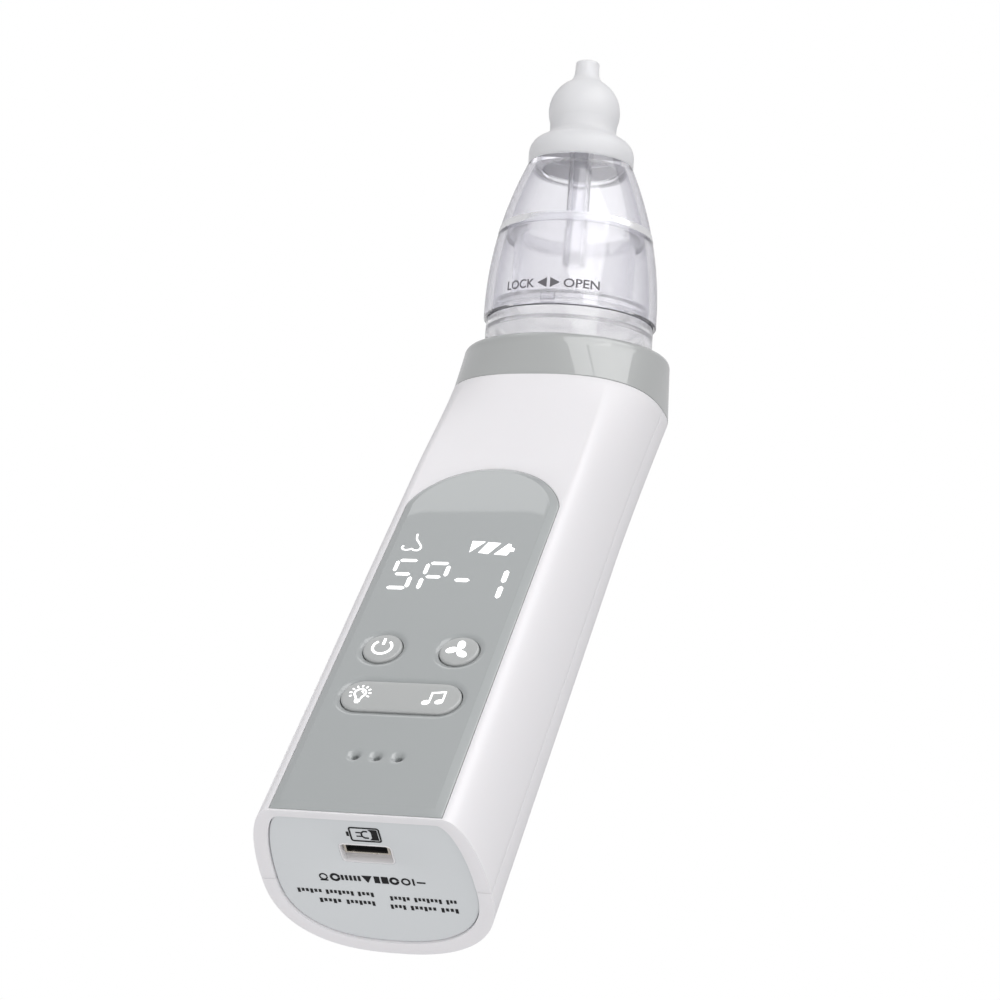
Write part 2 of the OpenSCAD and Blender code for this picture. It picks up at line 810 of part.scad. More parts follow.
module lug() {
    translate([0, 0, bell_lip_h + 1]) rotate_extrude(angle = lug_w)
        translate([cup_neck_r - 0.2, 0]) square([0.8, 1.3]);
}

module cup_gasket() {
    color("ghostwhite") on_head(band_h + 0.05) difference() {
        cylinder(r = bell_radius(band_h + band_t, bell_wall) - 0.04, h = band_t - 0.1);
        translate([0, 0, -1]) cylinder(r = cup_r + 0.82, h = 5);
    }
}

bell_steps = 20;
bell_inner_top = bell_top_h - 1.2;

module cup_bell() {
    color("aliceblue", 0.4) on_head() difference() {
        union() {
            rotate_extrude($fn = 128) polygon(concat(
                [[bell_r - bell_wall, bell_lip_h], [bell_r, bell_lip_h]],
                [for (i = [0:bell_steps]) let (h = 8 + (bell_top_h - 8) * i / bell_steps) [bell_radius(h), h]],
                [[boss_r, bell_top_h], [boss_r, boss_h], [tube_r, boss_h], [tube_r, boss_h + 3.6],
                 [tube_bore_r, boss_h + 3.6], [tube_bore_r, 17.5], [tube_r, 17.5],
                 [tube_r, boss_h - 1.6], [boss_r - 1.6, boss_h - 1.6],
                 [boss_r - 1.6, bell_inner_top]],
                [for (i = [bell_steps:-1:0]) let (h = 8 + (bell_inner_top - 8) * i / bell_steps)
                    [bell_radius(h, bell_wall), h]]
            ));
        }
        // L-shaped slots for the lugs: in at the lip, then round
        for (i = [0:lug_count - 1]) rotate([0, 0, 120 * i - 90]) bell_slot();
        // the drip tube's end is cut on a slant
        translate([0, 0, 17]) rotate([0, 30, 0]) translate([-4, -4, -4]) cube([8, 8, 4]);
    }
}

module bell_slot() {
    slot_r = cup_neck_r + 0.75;
    clear = 1.5;
    run = lug_w + twist_angle + 2 * clear;
    rotate([0, 0, -lug_w / 2 - twist_angle - clear]) {
        translate([0, 0, bell_lip_h + 0.85]) rotate_extrude(angle = run)
            translate([bell_r - bell_wall - 1, 0]) square([slot_r - bell_r + bell_wall + 1, 1.6]);
        translate([0, 0, bell_lip_h - 0.5]) rotate_extrude(angle = lug_w + 2 * clear)
            translate([bell_r - bell_wall - 1, 0]) square([slot_r - bell_r + bell_wall + 1, 2.6]);
    }
}

// ---------------------------------------------------------------- nozzle

bulb_h = 49.7;
bulb_r = 7.07;
stem_r = 2.35;
stem_top_h = 60.2;
skirt_r = 10.4;

// Points of an arc round [cr, ch], from angle a0 to a1, as [radius, height].
function arc_points(cr, ch, r, a0, a1, n) =
    [for (i = [0:n]) let (a = a0 + (a1 - a0) * i / n) [cr + r * cos(a), ch + r * sin(a)]];

module nozzle() {
    color("ghostwhite", 0.8) on_head() rotate_extrude($fn = 96) polygon(concat(
        // outside: skirt, waist, bulb, stem
        [[boss_r + 0.02, nozzle_skirt_h], [skirt_r, nozzle_skirt_h]],
        arc_points(skirt_r - 3.4, 40.6, 3.4, 0, 70, 8),
        [[7.1, 44.4], [6.6, 45.1], [6.5, 45.7], [6.6, 46.6]],
        arc_points(0, bulb_h, bulb_r, -15, 68, 14),
        [[stem_r + 0.25, 57.3], [stem_r, 58.2], [stem_r, stem_top_h - 0.4],
         [stem_r - 0.4, stem_top_h], [1.1, stem_top_h], [1.1, 56]],
        // inside: bulb, then the seat over the bell's boss
        arc_points(0, bulb_h, bulb_r - 1.2, 70, -36, 12),
        [[5, boss_h + 0.02], [boss_r + 0.02, boss_h + 0.02]]
    ));
}

front_shell();
rear_shell();
base_plate();
front_panel();
collar();
case_screws();
round_key(-key_x);  // power_key
round_key(key_x);  // speed_key
rocker_key();
main_board();
board_screws();
board_chips();
display_module();
switch_housings();
plunger(-key_x, key_z);  // power_plunger
plunger(key_x, key_z);  // speed_plunger
plunger(-pusher_x, rocker_z);  // light_plunger
plunger(pusher_x, rocker_z);  // music_plunger
speaker();
usb_shell();
usb_tongue();
inner_frame();
battery_cell();
battery_sleeve();
battery_leads();
motor_can();
motor_end_cap();
motor_leads();
motor_mount();
motor_shaft();
crank_hub();
crank_pin();
wobble_plate();
pump_housing();
diaphragm();
valve_plate();
valve_flaps();
pump_cover();
pump_screws();
suction_hose();
muffler_foam();
suction_port();
light_ring_board();
night_leds();
filter_sponge();
seat_oring();
inner_cup();
cup_gasket();
cup_bell();
nozzle();
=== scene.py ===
import json
from math import atan2, copysign, cos, degrees, pi, radians, sin, sqrt, tan

import bmesh
import bpy
from mathutils import Matrix, Vector
from mathutils.geometry import delaunay_2d_cdt


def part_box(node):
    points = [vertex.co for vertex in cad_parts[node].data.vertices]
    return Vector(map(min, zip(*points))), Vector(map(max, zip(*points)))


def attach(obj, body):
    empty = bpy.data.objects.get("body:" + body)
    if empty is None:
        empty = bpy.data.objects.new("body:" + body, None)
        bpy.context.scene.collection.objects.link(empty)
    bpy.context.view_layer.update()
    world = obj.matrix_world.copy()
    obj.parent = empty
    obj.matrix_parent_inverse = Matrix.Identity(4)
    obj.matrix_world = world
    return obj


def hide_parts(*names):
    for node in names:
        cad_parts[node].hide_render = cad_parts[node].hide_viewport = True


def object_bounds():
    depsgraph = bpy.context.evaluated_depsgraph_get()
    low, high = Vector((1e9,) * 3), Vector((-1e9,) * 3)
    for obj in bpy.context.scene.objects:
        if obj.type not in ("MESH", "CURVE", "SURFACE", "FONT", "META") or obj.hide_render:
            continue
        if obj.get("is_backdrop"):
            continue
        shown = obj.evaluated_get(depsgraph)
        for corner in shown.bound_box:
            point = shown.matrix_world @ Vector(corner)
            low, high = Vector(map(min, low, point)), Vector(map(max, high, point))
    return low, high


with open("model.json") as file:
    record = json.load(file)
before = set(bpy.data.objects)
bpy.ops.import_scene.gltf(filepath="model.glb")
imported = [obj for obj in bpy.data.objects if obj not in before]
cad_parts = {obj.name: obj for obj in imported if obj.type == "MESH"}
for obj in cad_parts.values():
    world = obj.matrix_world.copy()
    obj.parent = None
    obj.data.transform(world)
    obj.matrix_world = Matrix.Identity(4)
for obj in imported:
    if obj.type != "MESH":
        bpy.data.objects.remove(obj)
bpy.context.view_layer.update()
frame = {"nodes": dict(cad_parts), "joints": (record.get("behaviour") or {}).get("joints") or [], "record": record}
scene = bpy.context.scene

MM = 0.001  # every size below is in millimetres

# ---- places, as in the CAD

plate_low, plate_high = (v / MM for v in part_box("base_plate"))

# handle: X is its width, Y runs from its front to its back, and Z is up
RIM = 2.5  # edge of the shells round the base plate
HALF_W = plate_high.x + RIM
HALF_D = plate_high.y + RIM
FRONT_Y = -HALF_D
FLAT = 14.15  # half width of the flat front
BELLY = 2.44  # exponent of the rounded back
WALL = 1.8
FLARE_Z = 88.0  # the handle starts to widen here
SEAM = 0.04  # half of the gap between the two shells
LEAD = 1.1  # the base plate reaches this much nearer the front

# slanted joint between handle and collar
JOINT_Z, JOINT_SLOPE = 114.0, radians(35.0)
JOINT_TAN = tan(JOINT_SLOPE)
JOINT_HALF_X, JOINT_HALF_Y, JOINT_Y, JOINT_N = 20.05, 20.4, -0.8, 2.6

# the head's own frame: Z along its axis, and height 0 at the collar's edge
twist = next(j for j in frame["joints"] if j["name"] == "bell_twist")
AXIS = Vector(twist["axis"]).normalized()
TWIST_H = 7.85
HEAD_ORIGIN = Vector(twist["pos_m"]) / MM - AXIS * TWIST_H
TILT = atan2(-AXIS.y, AXIS.z)
HEAD = Matrix.Translation(HEAD_ORIGIN) @ Matrix.Rotation(TILT, 4, "X")

PANEL_HALF, PANEL_FOOT = 14.0, 0.4
ARCH_TOP, ARCH_R, ARCH_BLEND = 86.0, 14.6, 4.0
FIELD_RISE, FIELD_INSET = 0.6, 1.5  # the panel's flat field, inside its chamfer
FIELD_Y = FRONT_Y - FIELD_RISE
PANEL_BACK = FRONT_Y + 0.98

KEY_X, KEY_Z, KEY_R = 6.6, 37.0, 3.3
ROCK_Z, ROCK_HALF, ROCK_R = 25.6, 10.1, 3.4


# ---- small helpers

TOUCH = 1e-9  # points of a flat outline nearer than this are one


def lerp(a, b, t):
    return a + (b - a) * t


def arc(cx, cy, r, a0, a1, n):
    """n + 1 points of a circle, from a0 to a1 degrees."""
    turns = [radians(lerp(a0, a1, i / n)) for i in range(n + 1)]
    return [(cx + r * cos(a), cy + r * sin(a)) for a in turns]


def rounded(path, steps=5, closed=True):
    """Rounds the corners of a path of (x, y, radius)."""
    out = []
    n = len(path)
    for i, (x, y, r) in enumerate(path):
        if r <= 0 or (not closed and i in (0, n - 1)):
            out.append((x, y))
            continue
        p = Vector((x, y))
        a = Vector(path[i - 1][:2]) - p
        b = Vector(path[(i + 1) % n][:2]) - p
        half = a.angle(b) / 2
        cut = min(r / tan(half), a.length * 0.49, b.length * 0.49)
        rr = cut * tan(half)
        a.normalize()
        b.normalize()
        mid = (a + b).normalized() * (rr / sin(half)) + p
        start = p + a * cut - mid
        turn = start.angle_signed(p + b * cut - mid)
        for k in range(steps + 1):
            ang = -turn * k / steps
            c, s = cos(ang), sin(ang)
            out.append((mid.x + start.x * c - start.y * s,
                        mid.y + start.x * s + start.y * c))
    return out


def soften(mesh, angle):
    """Smooth faces, with hard edges above the angle in degrees."""
    mesh.polygons.foreach_set("use_smooth", [True] * len(mesh.polygons))
    mesh.set_sharp_from_angle(angle=radians(angle))


def add_piece(name, verts, faces, body, mat, matrix=None, angle=40, smooth=True):
    """A piece from points in millimetres, which rides on a body of the CAD."""
    mesh = bpy.data.meshes.new(name)
    if matrix is not None:
        verts = [matrix @ Vector(v) for v in verts]
    mesh.from_pydata([tuple(c * MM for c in v) for v in verts], [], faces)
    mesh.validate()
    if smooth:
        soften(mesh, angle)
    mesh.update()
    obj = bpy.data.objects.new(name, mesh)
    scene.collection.objects.link(obj)
    obj.data.materials.append(mat)
    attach(obj, body)
    outward(obj)
    return obj


def outward(obj):
    """Turns every face of a closed mesh to face outwards."""
    bm = bmesh.new()
    bm.from_mesh(obj.data)
    bmesh.ops.remove_doubles(bm, verts=bm.verts, dist=1e-7)
    bmesh.ops.recalc_face_normals(bm, faces=bm.faces)
    bm.to_mesh(obj.data)
    bm.free()
    obj.data.update()


def revolve_mesh(profile, segs, closed=True, start=0.0, sweep=360.0):
    """Turns a path of (radius, height) about Z. Radius 0 gives a pole."""
    verts, rows = [], []
    full = sweep >= 360.0
    count = segs if full else segs + 1
    for r, h in profile:
        if r == 0:
            verts.append((0, 0, h))
            rows.append([len(verts) - 1] * count)
        else:
            row = []
            for k in range(count):
                a = radians(start + sweep * k / segs)
                verts.append((r * cos(a), r * sin(a), h))
                row.append(len(verts) - 1)
            rows.append(row)
    faces = []
    n = len(rows)
    for i in range(n if closed else n - 1):
        a, b = rows[i], rows[(i + 1) % n]
        for k in range(segs):
            m = (k + 1) % count
            face = []
            for v in (a[k], a[m], b[m], b[k]):
                if v not in face:
                    face.append(v)
            if len(face) > 2:
                faces.append(face)
    if not full:
        faces.append([row[0] for row in rows])
        faces.append([row[-1] for row in reversed(rows)])
    return verts, faces


def revolve(name, profile, body, slot, mat, segs=144, angle=40, **how):
    verts, faces = revolve_mesh(profile, segs, **how)
    return add_piece(name, verts, faces, body, mat, HEAD, angle)


def loft_mesh(rings):
    """Joins closed rings of equal length, and closes the first and the last one."""
    n = len(rings[0])
    verts = [p for ring in rings for p in ring]
    faces = []
    for i in range(len(rings) - 1):
        for k in range(n):
            m = (k + 1) % n
            faces.append((i * n + k, i * n + m, (i + 1) * n + m, (i + 1) * n + k))
    faces.append(tuple(range(n)))
    faces.append(tuple(reversed(range((len(rings) - 1) * n, len(rings) * n))))
    return verts, faces


def plate_mesh(outer, holes, place):
    """A plate with holes. outer is a list of (loop, depth) from back to front, and each hole
    is a list of (loop, depth) from front to back. place makes (x, y, depth) a 3-D point."""
    verts, faces = [], []

    def add_ring(loop, depth):
        first = len(verts)
        verts.extend(place(x, y, depth) for x, y in loop)
        return list(range(first, len(verts)))

    def band(a, b):
        n = len(a)
        for k in range(n):
            m = (k + 1) % n
            faces.append((a[k], a[m], b[m], b[k]))

    def cap(loops, rings):
        points, edges, index = [], [], []
        for loop, ring in zip(loops, rings):
            first = len(points)
            points.extend(Vector(p) for p in loop)
            index.extend(ring)
            n = len(loop)
            edges.extend((first + k, first + (k + 1) % n) for k in range(n))
        new_verts, _, tris, orig = delaunay_2d_cdt(points, edges, [], 0, TOUCH)[:4]
        ids = [index[o[0]] for o in orig]
        for tri in tris:
            c = sum((new_verts[i] for i in tri), Vector((0, 0))) / 3
            if in_loop(c, loops[0]) and not any(in_loop(c, h) for h in loops[1:]):
                faces.append(tuple(ids[i] for i in tri))

    outer_ids = [add_ring(loop, depth) for loop, depth in outer]
    for a, b in zip(outer_ids, outer_ids[1:]):
        band(a, b)
    hole_ids = [[add_ring(loop, depth) for loop, depth in hole] for hole in holes]
    for ids in hole_ids:
        for a, b in zip(ids, ids[1:]):
            band(a, b)
    cap([outer[-1][0]] + [h[0][0] for h in holes], [outer_ids[-1]] + [i[0] for i in hole_ids])
    cap([outer[0][0]] + [h[-1][0] for h in holes], [outer_ids[0]] + [i[-1] for i in hole_ids])
    return verts, faces


def in_loop(p, loop):
    """Whether a flat point lies inside a closed loop."""
    inside = False
    n = len(loop)
    for k in range(n):
        (x0, y0), (x1, y1) = loop[k], loop[(k + 1) % n]
        crosses = (y0 > p[1]) != (y1 > p[1])
        if crosses and p[0] < x0 + (x1 - x0) * (p[1] - y0) / (y1 - y0):
            inside = not inside
    return inside


def circle(cx, cy, r, n=72):
    return arc(cx, cy, r, 0, 360, n)[:-1]


def pill(cx, cy, half, r, n=24):
    """A long round-ended loop; half is half its length."""
    return arc(cx + half - r, cy, r, -90, 90, n) + arc(cx - half + r, cy, r, 90, 270, n)


# ---- materials

WHITE = (1, 1, 1, 1)
BROAD_SCALE = 60.0  # the noise behind a colour's slow change
SCATTER_MM, SCATTER_RGB = 2.0, (1.0, 0.9, 0.85)
EDGE_SHADE_START = 0.12  # how far from facing the view the painted shade on a clear wall's edge starts
CLEAR_TINT = (0.97, 0.97, 0.98, 1)


def node(tree, kind, inputs=(), **values):
    """A new node. Values go to its inputs of that name or number, else to its settings."""
    made = tree.nodes.new("ShaderNode" + kind)
    for key, value in (*values.items(), *dict(inputs).items()):
        if isinstance(key, int) or key in made.inputs:
            made.inputs[key].default_value = value
        else:
            setattr(made, key, value)
    return made


def wire(tree, *links):
    """Joins nodes: each link is (from, output, to, input)."""
    for source, output, target, slot in links:
        tree.links.new(source.outputs[output], target.inputs[slot])


def new_tree(owner):
    owner.use_nodes = True
    owner.node_tree.nodes.clear()
    return owner.node_tree


def material(name, color, rough=0.4, metal=0.0, grain=0.0, grain_scale=900.0, rough_var=0.04,
             tint=0.015, coat=0.0, coat_rough=0.05, sss=0.0, sss_color=SCATTER_RGB,
             stretch=(1, 1, 1), spec=0.5, emit=0.0, transmission=0.0, ior=1.46,
             clear_shadow=0.0, painted_edge_shade=None):
    """A procedural material: slow changes of colour, and fine changes of roughness and height.
    grain is the fine bump's height in mm. painted_edge_shade is painted shade: the colour a clear wall gets where
    it is seen edge-on, in place of the dark edges that refraction gives."""
    mat = bpy.data.materials.new(name)
    t = new_tree(mat)
    out = node(t, "OutputMaterial")
    looks = {"Metallic": metal, "Specular IOR Level": spec, "IOR": ior, "Coat Weight": coat,
             "Coat Roughness": coat_rough, "Transmission Weight": transmission}
    if sss:
        looks.update({"Subsurface Weight": sss, "Subsurface Scale": SCATTER_MM * MM,
                      "Subsurface Radius": sss_color})
    if emit:
        looks.update({"Emission Color": (*color, 1), "Emission Strength": emit})
    bsdf = node(t, "BsdfPrincipled", looks)
    coords = node(t, "TexCoord")
    mapping = node(t, "Mapping", Scale=stretch)
    broad = node(t, "TexNoise", Scale=BROAD_SCALE, Detail=3.0)
    fine = node(t, "TexNoise", Scale=grain_scale, Detail=2.0)
    shade = node(t, "MixRGB",
                 Color1=(*[c * (1 - tint) for c in color], 1),
                 Color2=(*[min(1.0, c * (1 + tint)) for c in color], 1))
    wire(t, (coords, "Object", mapping, "Vector"), (mapping, "Vector", broad, "Vector"),
         (mapping, "Vector", fine, "Vector"), (broad, "Fac", shade, "Fac"))
    tone = shade
    # painted shade: a clear wall's colour darkens towards the angles where it is seen edge-on, standing in for the
    # dark edges that refraction gives
    if painted_edge_shade:
        view = node(t, "LayerWeight", Blend=0.5)
        fall = node(t, "MapRange", {"From Min": EDGE_SHADE_START},
                    interpolation_type="SMOOTHSTEP")
        tone = node(t, "MixRGB", Color2=(*painted_edge_shade, 1))
        wire(t, (view, "Facing", fall, "Value"), (fall, "Result", tone, "Fac"),
             (shade, "Color", tone, "Color1"))
    span = node(t, "MapRange",
                {"To Min": max(0.0, rough - rough_var), "To Max": rough + rough_var})
    wire(t, (tone, "Color", bsdf, "Base Color"), (fine, "Fac", span, "Value"),
         (span, "Result", bsdf, "Roughness"))
    if grain:
        bump = node(t, "Bump", Strength=1.0, Distance=grain * MM)
        wire(t, (fine, "Fac", bump, "Height"), (bump, "Normal", bsdf, "Normal"))
    last = bsdf
    if clear_shadow:
        # light passes through a clear wall instead of leaving a black shadow
        path = node(t, "LightPath")
        gain = node(t, "Math", {1: clear_shadow}, operation="MULTIPLY")
        see = node(t, "BsdfTransparent", Color=CLEAR_TINT)
        last = node(t, "MixShader")
        wire(t, (path, "Is Shadow Ray", gain, 0), (gain, 0, last, "Fac"), (bsdf, 0, last, 1),
             (see, 0, last, 2))
    wire(t, (last, 0, out, "Surface"))
    return mat


SHELL_RGB = (0.80, 0.785, 0.80)
M_SHELL = material("moulded_white", SHELL_RGB, rough=0.36, grain=0.006, grain_scale=2600,
                   sss=0.12, coat=0.06, coat_rough=0.25, tint=0.008)
M_PANEL = material("panel_gloss", (0.365, 0.383, 0.383), rough=0.35, coat=1.0, coat_rough=0.02,
                   tint=0.01)
M_KEY = material("key_satin", (0.43, 0.44, 0.435), rough=0.34, grain=0.003, grain_scale=2400,
                 tint=0.01, coat=0.3, coat_rough=0.12)
M_COLLAR = material("collar_gloss", (0.385, 0.395, 0.39), rough=0.35, coat=1.0, coat_rough=0.03)
M_BASE = material("base_satin", (0.65, 0.67, 0.68), rough=0.42, grain=0.006, grain_scale=2600,
                  tint=0.01)
# painted shade: the clear bell's walls turn a dark lilac grey where they are seen edge-on
M_CLEAR = material("clear_plastic", (0.935, 0.932, 0.955), rough=0.06, rough_var=0.02,
                   transmission=0.96, ior=1.49, clear_shadow=0.85, tint=0.004,
                   painted_edge_shade=(0.34, 0.33, 0.39))
# painted shade: the clear cup's walls turn a little greyer where they are seen edge-on
M_CUP = material("clear_cup", (0.97, 0.965, 0.97), rough=0.14, rough_var=0.05,
                 transmission=0.86, ior=1.45, clear_shadow=0.9, tint=0.01, painted_edge_shade=(0.8, 0.8, 0.84))
M_SILICONE = material("milky_silicone", (0.83, 0.83, 0.84), rough=0.42, sss=0.6,
                      sss_color=(1.0, 0.97, 0.95), grain=0.004, grain_scale=1800,
                      transmission=0.25, ior=1.41, clear_shadow=0.35)
M_GASKET = material("seal_silicone", (0.93, 0.93, 0.95), rough=0.25, transmission=0.9, ior=1.36,
                    clear_shadow=0.9)
M_LIT = material("lit_white", (1.0, 1.0, 1.0), rough=0.5, emit=0.9)
M_PRINT = material("grey_print", (0.13, 0.125, 0.135), rough=0.5, grain=0.002,
                   grain_scale=3000, tint=0.06)
# black print on the base, and also the painted shade that lines the charging socket
M_BLACK_PRINT_AND_SHADE = material("black_print_and_shade", (0.012, 0.012, 0.013), rough=0.6, spec=0.2, grain=0.002,
                 grain_scale=3000, tint=0.1)
M_LINER = material("liner_white", (0.78, 0.77, 0.78), rough=0.4, grain=0.004)

# looks of the CAD's own nodes, by material slot
SLOT_LOOKS = {
    "steel": dict(color=(0.55, 0.55, 0.57), rough=0.32, metal=1.0, grain=0.004,
                  stretch=(1, 1, 14), rough_var=0.12),
    "usb_metal": dict(color=(0.62, 0.57, 0.50), rough=0.24, metal=1.0, grain=0.002, rough_var=0.08),
    "black_plastic": dict(color=(0.022, 0.022, 0.025), rough=0.5, grain=0.01),
    "board_green": dict(color=(0.015, 0.12, 0.05), rough=0.35, coat=0.4, grain=0.004, tint=0.12),
    "display_white": dict(color=(0.7, 0.71, 0.72), rough=0.5, grain=0.004),
    "white_plastic": dict(color=(0.74, 0.74, 0.72), rough=0.45, grain=0.006, sss=0.1),
    "cell_blue": dict(color=(0.02, 0.08, 0.35), rough=0.28, coat=0.4, grain=0.002),
    "red_wire": dict(color=(0.4, 0.01, 0.008), rough=0.45, grain=0.004),
    "black_rubber": dict(color=(0.02, 0.02, 0.022), rough=0.7, grain=0.01),
    "foam_grey": dict(color=(0.20, 0.21, 0.22), rough=0.95, grain=0.12, grain_scale=700,
                      tint=0.35),
    "led_yellow": dict(color=(0.85, 0.75, 0.40), rough=0.3, coat=0.4, grain=0.002),
    "silicone": dict(color=(0.78, 0.78, 0.79), rough=0.42, sss=0.4, grain=0.004),
    "clear_plastic": dict(color=(0.97, 0.97, 0.985), rough=0.04, transmission=1.0, ior=1.49,
                          clear_shadow=0.85),
    "shell_white": dict(color=SHELL_RGB, rough=0.36, grain=0.006, sss=0.12),
    "collar_grey": dict(color=(0.40, 0.41, 0.405), rough=0.30, grain=0.004),
    "panel_grey": dict(color=(0.40, 0.42, 0.42), rough=0.25, grain=0.002),
    "base_grey": dict(color=(0.55, 0.57, 0.58), rough=0.42, grain=0.005),
}
slot_of = {s["node"]: s["material_slot"] for s in frame["record"]["subparts"]}
slot_mats = {}
for name, obj in frame["nodes"].items():
    slot = slot_of[name]
    if slot not in slot_mats:
        slot_mats[slot] = material("cad_" + slot, **SLOT_LOOKS[slot])
    for place in obj.material_slots:
        place.material = slot_mats[slot]


# ---- handle shells

FRONT_STEPS, FLAT_STEPS, REAR_STEPS = 26, 14, 72
FLAT_SHARE = 0.6  # how much of an inset the flat front takes
INNER_T = 1.9  # wall at the joint
MOUTH_T, LEDGE_T = RIM - 0.1, RIM + 0.9
LEDGE_LOW, LEDGE_TOP = 1.95, 3.0  # the ledge the base plate rests against
FLARE_POWER, OUTER_FLARE_STEPS, INNER_FLARE_STEPS = 1.55, 16, 6
JOINT_GAP = 0.05


def signed_pow(v, n):
    return copysign(abs(v) ** n, v)


def section_front(t=0.0, lead=0.0):
    """Front half of the handle's outline at inset t, from +X round the front to -X."""
    flat, depth = FLAT - FLAT_SHARE * t, HALF_D - t + lead
    pts = []
    for i in range(FRONT_STEPS + 1):
        a = radians(90 * (1 - i / FRONT_STEPS))
        bulge = HALF_W - FLAT - (1 - FLAT_SHARE) * t
        pts.append((flat + bulge * sin(a), -depth * cos(a)))
    pts += [(lerp(flat, -flat, i / FLAT_STEPS), -depth) for i in range(1, FLAT_STEPS)]
    return pts + [(-x, y) for x, y in reversed(pts[:FRONT_STEPS + 1])]


def section_rear(t=0.0, lead=0.0):
    """Rear half of the outline, from +X round the back to -X. The lead is only at the front."""
    pts = []
    for i in range(REAR_STEPS + 1):
        a = radians(180 * i / REAR_STEPS)
        y = sin(a) ** (2 / BELLY) * (HALF_D - t) if 0 < i < REAR_STEPS else 0.0
        pts.append((signed_pow(cos(a), 2 / BELLY) * (HALF_W - t), y))
    return pts


def joint_height(y):
    """Height of the slanted joint at y."""
    return JOINT_Z + (y + HALF_D) * JOINT_TAN


def joint_outline(turn, t=0.0):
    """The joint's squarish oval, inset by t. turn 0 is the front, and it grows towards +X."""
    x = (JOINT_HALF_X - t) * signed_pow(sin(turn), 2 / JOINT_N)
    depth = (JOINT_HALF_Y - t) * cos(JOINT_SLOPE)
    return x, JOINT_Y - depth * signed_pow(cos(turn), 2 / JOINT_N)


def joint_point(x, y, t):
    """Point of the joint's outline in the direction of (x, y) from the handle's middle."""
    low, high = -pi, pi
    want = atan2(x, -y)
    for _ in range(50):
        mid = (low + high) / 2
        px, py = joint_outline(mid, t)
        if atan2(px, -py) < want:
            low = mid
        else:
            high = mid
    return joint_outline(low, t)


def flare_row(loop, t, s):
    """A row on the way from the handle's outline (s 0) to the joint's outline (s 1)."""
    row, share = [], s ** FLARE_POWER
    for x, y in loop:
        tx, ty = joint_point(x, y, t)
        row.append((lerp(x, tx, share), lerp(y, ty, share),
                    lerp(FLARE_Z, joint_height(ty) - JOINT_GAP, s)))
    return row


def shell_rows(section, front):
    """Closed loop of rows (each a list of points round the half outline)."""
    outer, inner = section(0.0), section(WALL)
    mouth, ledge = section(MOUTH_T, LEAD), section(LEDGE_T, LEAD)
    rows = [[(x, y, z) for x, y in outer] for z in (0.0, 6.0, 45.0, FLARE_Z)]
    rows += [flare_row(outer, 0, (i + 1) / OUTER_FLARE_STEPS) for i in range(OUTER_FLARE_STEPS)]
    rows += [flare_row(inner, INNER_T, i / INNER_FLARE_STEPS)
             for i in range(INNER_FLARE_STEPS, -1, -1)]
    for loop, z in ((inner, LEDGE_TOP), (ledge, LEDGE_TOP), (ledge, LEDGE_LOW),
                    (mouth, LEDGE_LOW), (mouth, 0.0)):
        rows.append([(x, y, z) for x, y in loop])
    side = -SEAM if front else SEAM
    keep = min if front else max
    for row in rows:
        row[1:-1] = [(x, keep(y, side), z) for x, y, z in row[1:-1]]
        for k in (0, -1):
            row[k] = (row[k][0], side, row[k][2])
    return rows


def shell(name, section, front, replaced):
    rows = shell_rows(section, front)
    n, m = len(rows), len(rows[0])
    verts = [p for row in rows for p in row]
    faces = []
    for i in range(n):
        j = (i + 1) % n
        for k in range(m - 1):
            faces.append((i * m + k, i * m + k + 1, j * m + k + 1, j * m + k))
    faces.append(tuple(i * m for i in range(n)))
    faces.append(tuple(i * m + m - 1 for i in reversed(range(n))))
    obj = add_piece(name, verts, faces, "casing", M_SHELL, angle=30)
    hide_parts(replaced)
    return obj


def facing(x, z, depth):
    """A point of the front, where depth is the Y value."""
    return (x, depth, z)


def cut(target, loop, start, end):
    """Cuts a straight hole with the outline loop, from depth start to depth end."""
    verts, faces = loft_mesh([[facing(x, z, depth) for x, z in loop] for depth in (start, end)])
    mesh = bpy.data.meshes.new("cut_tool")
    mesh.from_pydata([tuple(c * MM for c in v) for v in verts], [], faces)
    tool = bpy.data.objects.new("cut_tool", mesh)
    scene.collection.objects.link(tool)
    outward(tool)
    mod = target.modifiers.new("cut", "BOOLEAN")
    mod.operation = "DIFFERENCE"
    mod.solver = "EXACT"
    mod.object = tool
    apply_modifiers(target)
    bpy.data.objects.remove(tool)


def apply_modifiers(obj):
    """Makes the modifiers' result the object's mesh."""
    deps = bpy.context.evaluated_depsgraph_get()
    deps.update()
    done = bpy.data.meshes.new_from_object(obj.evaluated_get(deps))
    obj.modifiers.clear()
    old = obj.data
    obj.data = done
    bpy.data.meshes.remove(old)


def bevel(obj, width):
    mod = obj.modifiers.new("soft_edges", "BEVEL")
    mod.width = width * MM
    mod.segments = 3
    mod.limit_method = "ANGLE"
    mod.angle_limit = radians(40)
    mod.miter_outer = "MITER_ARC"
    apply_modifiers(obj)
    soften(obj.data, 50)


def panel_loop(inset):
    """The panel's outline: a square foot, and an arch blended into the sides."""
    hw, r, blend = PANEL_HALF - inset, ARCH_R - inset, ARCH_BLEND - inset
    foot = PANEL_FOOT + inset
    mid = ARCH_TOP - ARCH_R
    lift = sqrt((r - blend) ** 2 - (hw - blend) ** 2)
    turn = degrees(atan2(lift, hw - blend))
    pts = [(lerp(-hw, hw, i / 12), foot) for i in range(12)]
    pts += [(hw, lerp(foot, mid + lift, i / 16)) for i in range(16)]
    pts += arc(hw - blend, mid + lift, blend, 0, turn, 6)[:-1]
    pts += arc(0, mid, r, turn, 180 - turn, 48)[:-1]
    pts += arc(blend - hw, mid + lift, blend, 180 - turn, 180, 6)[:-1]
    pts += [(-hw, lerp(mid + lift, foot, i / 16)) for i in range(16)]
    return pts


def power_loop(grow):
    return circle(-KEY_X, KEY_Z, KEY_R + grow)


def speed_loop(grow):
    return circle(KEY_X, KEY_Z, KEY_R + grow)


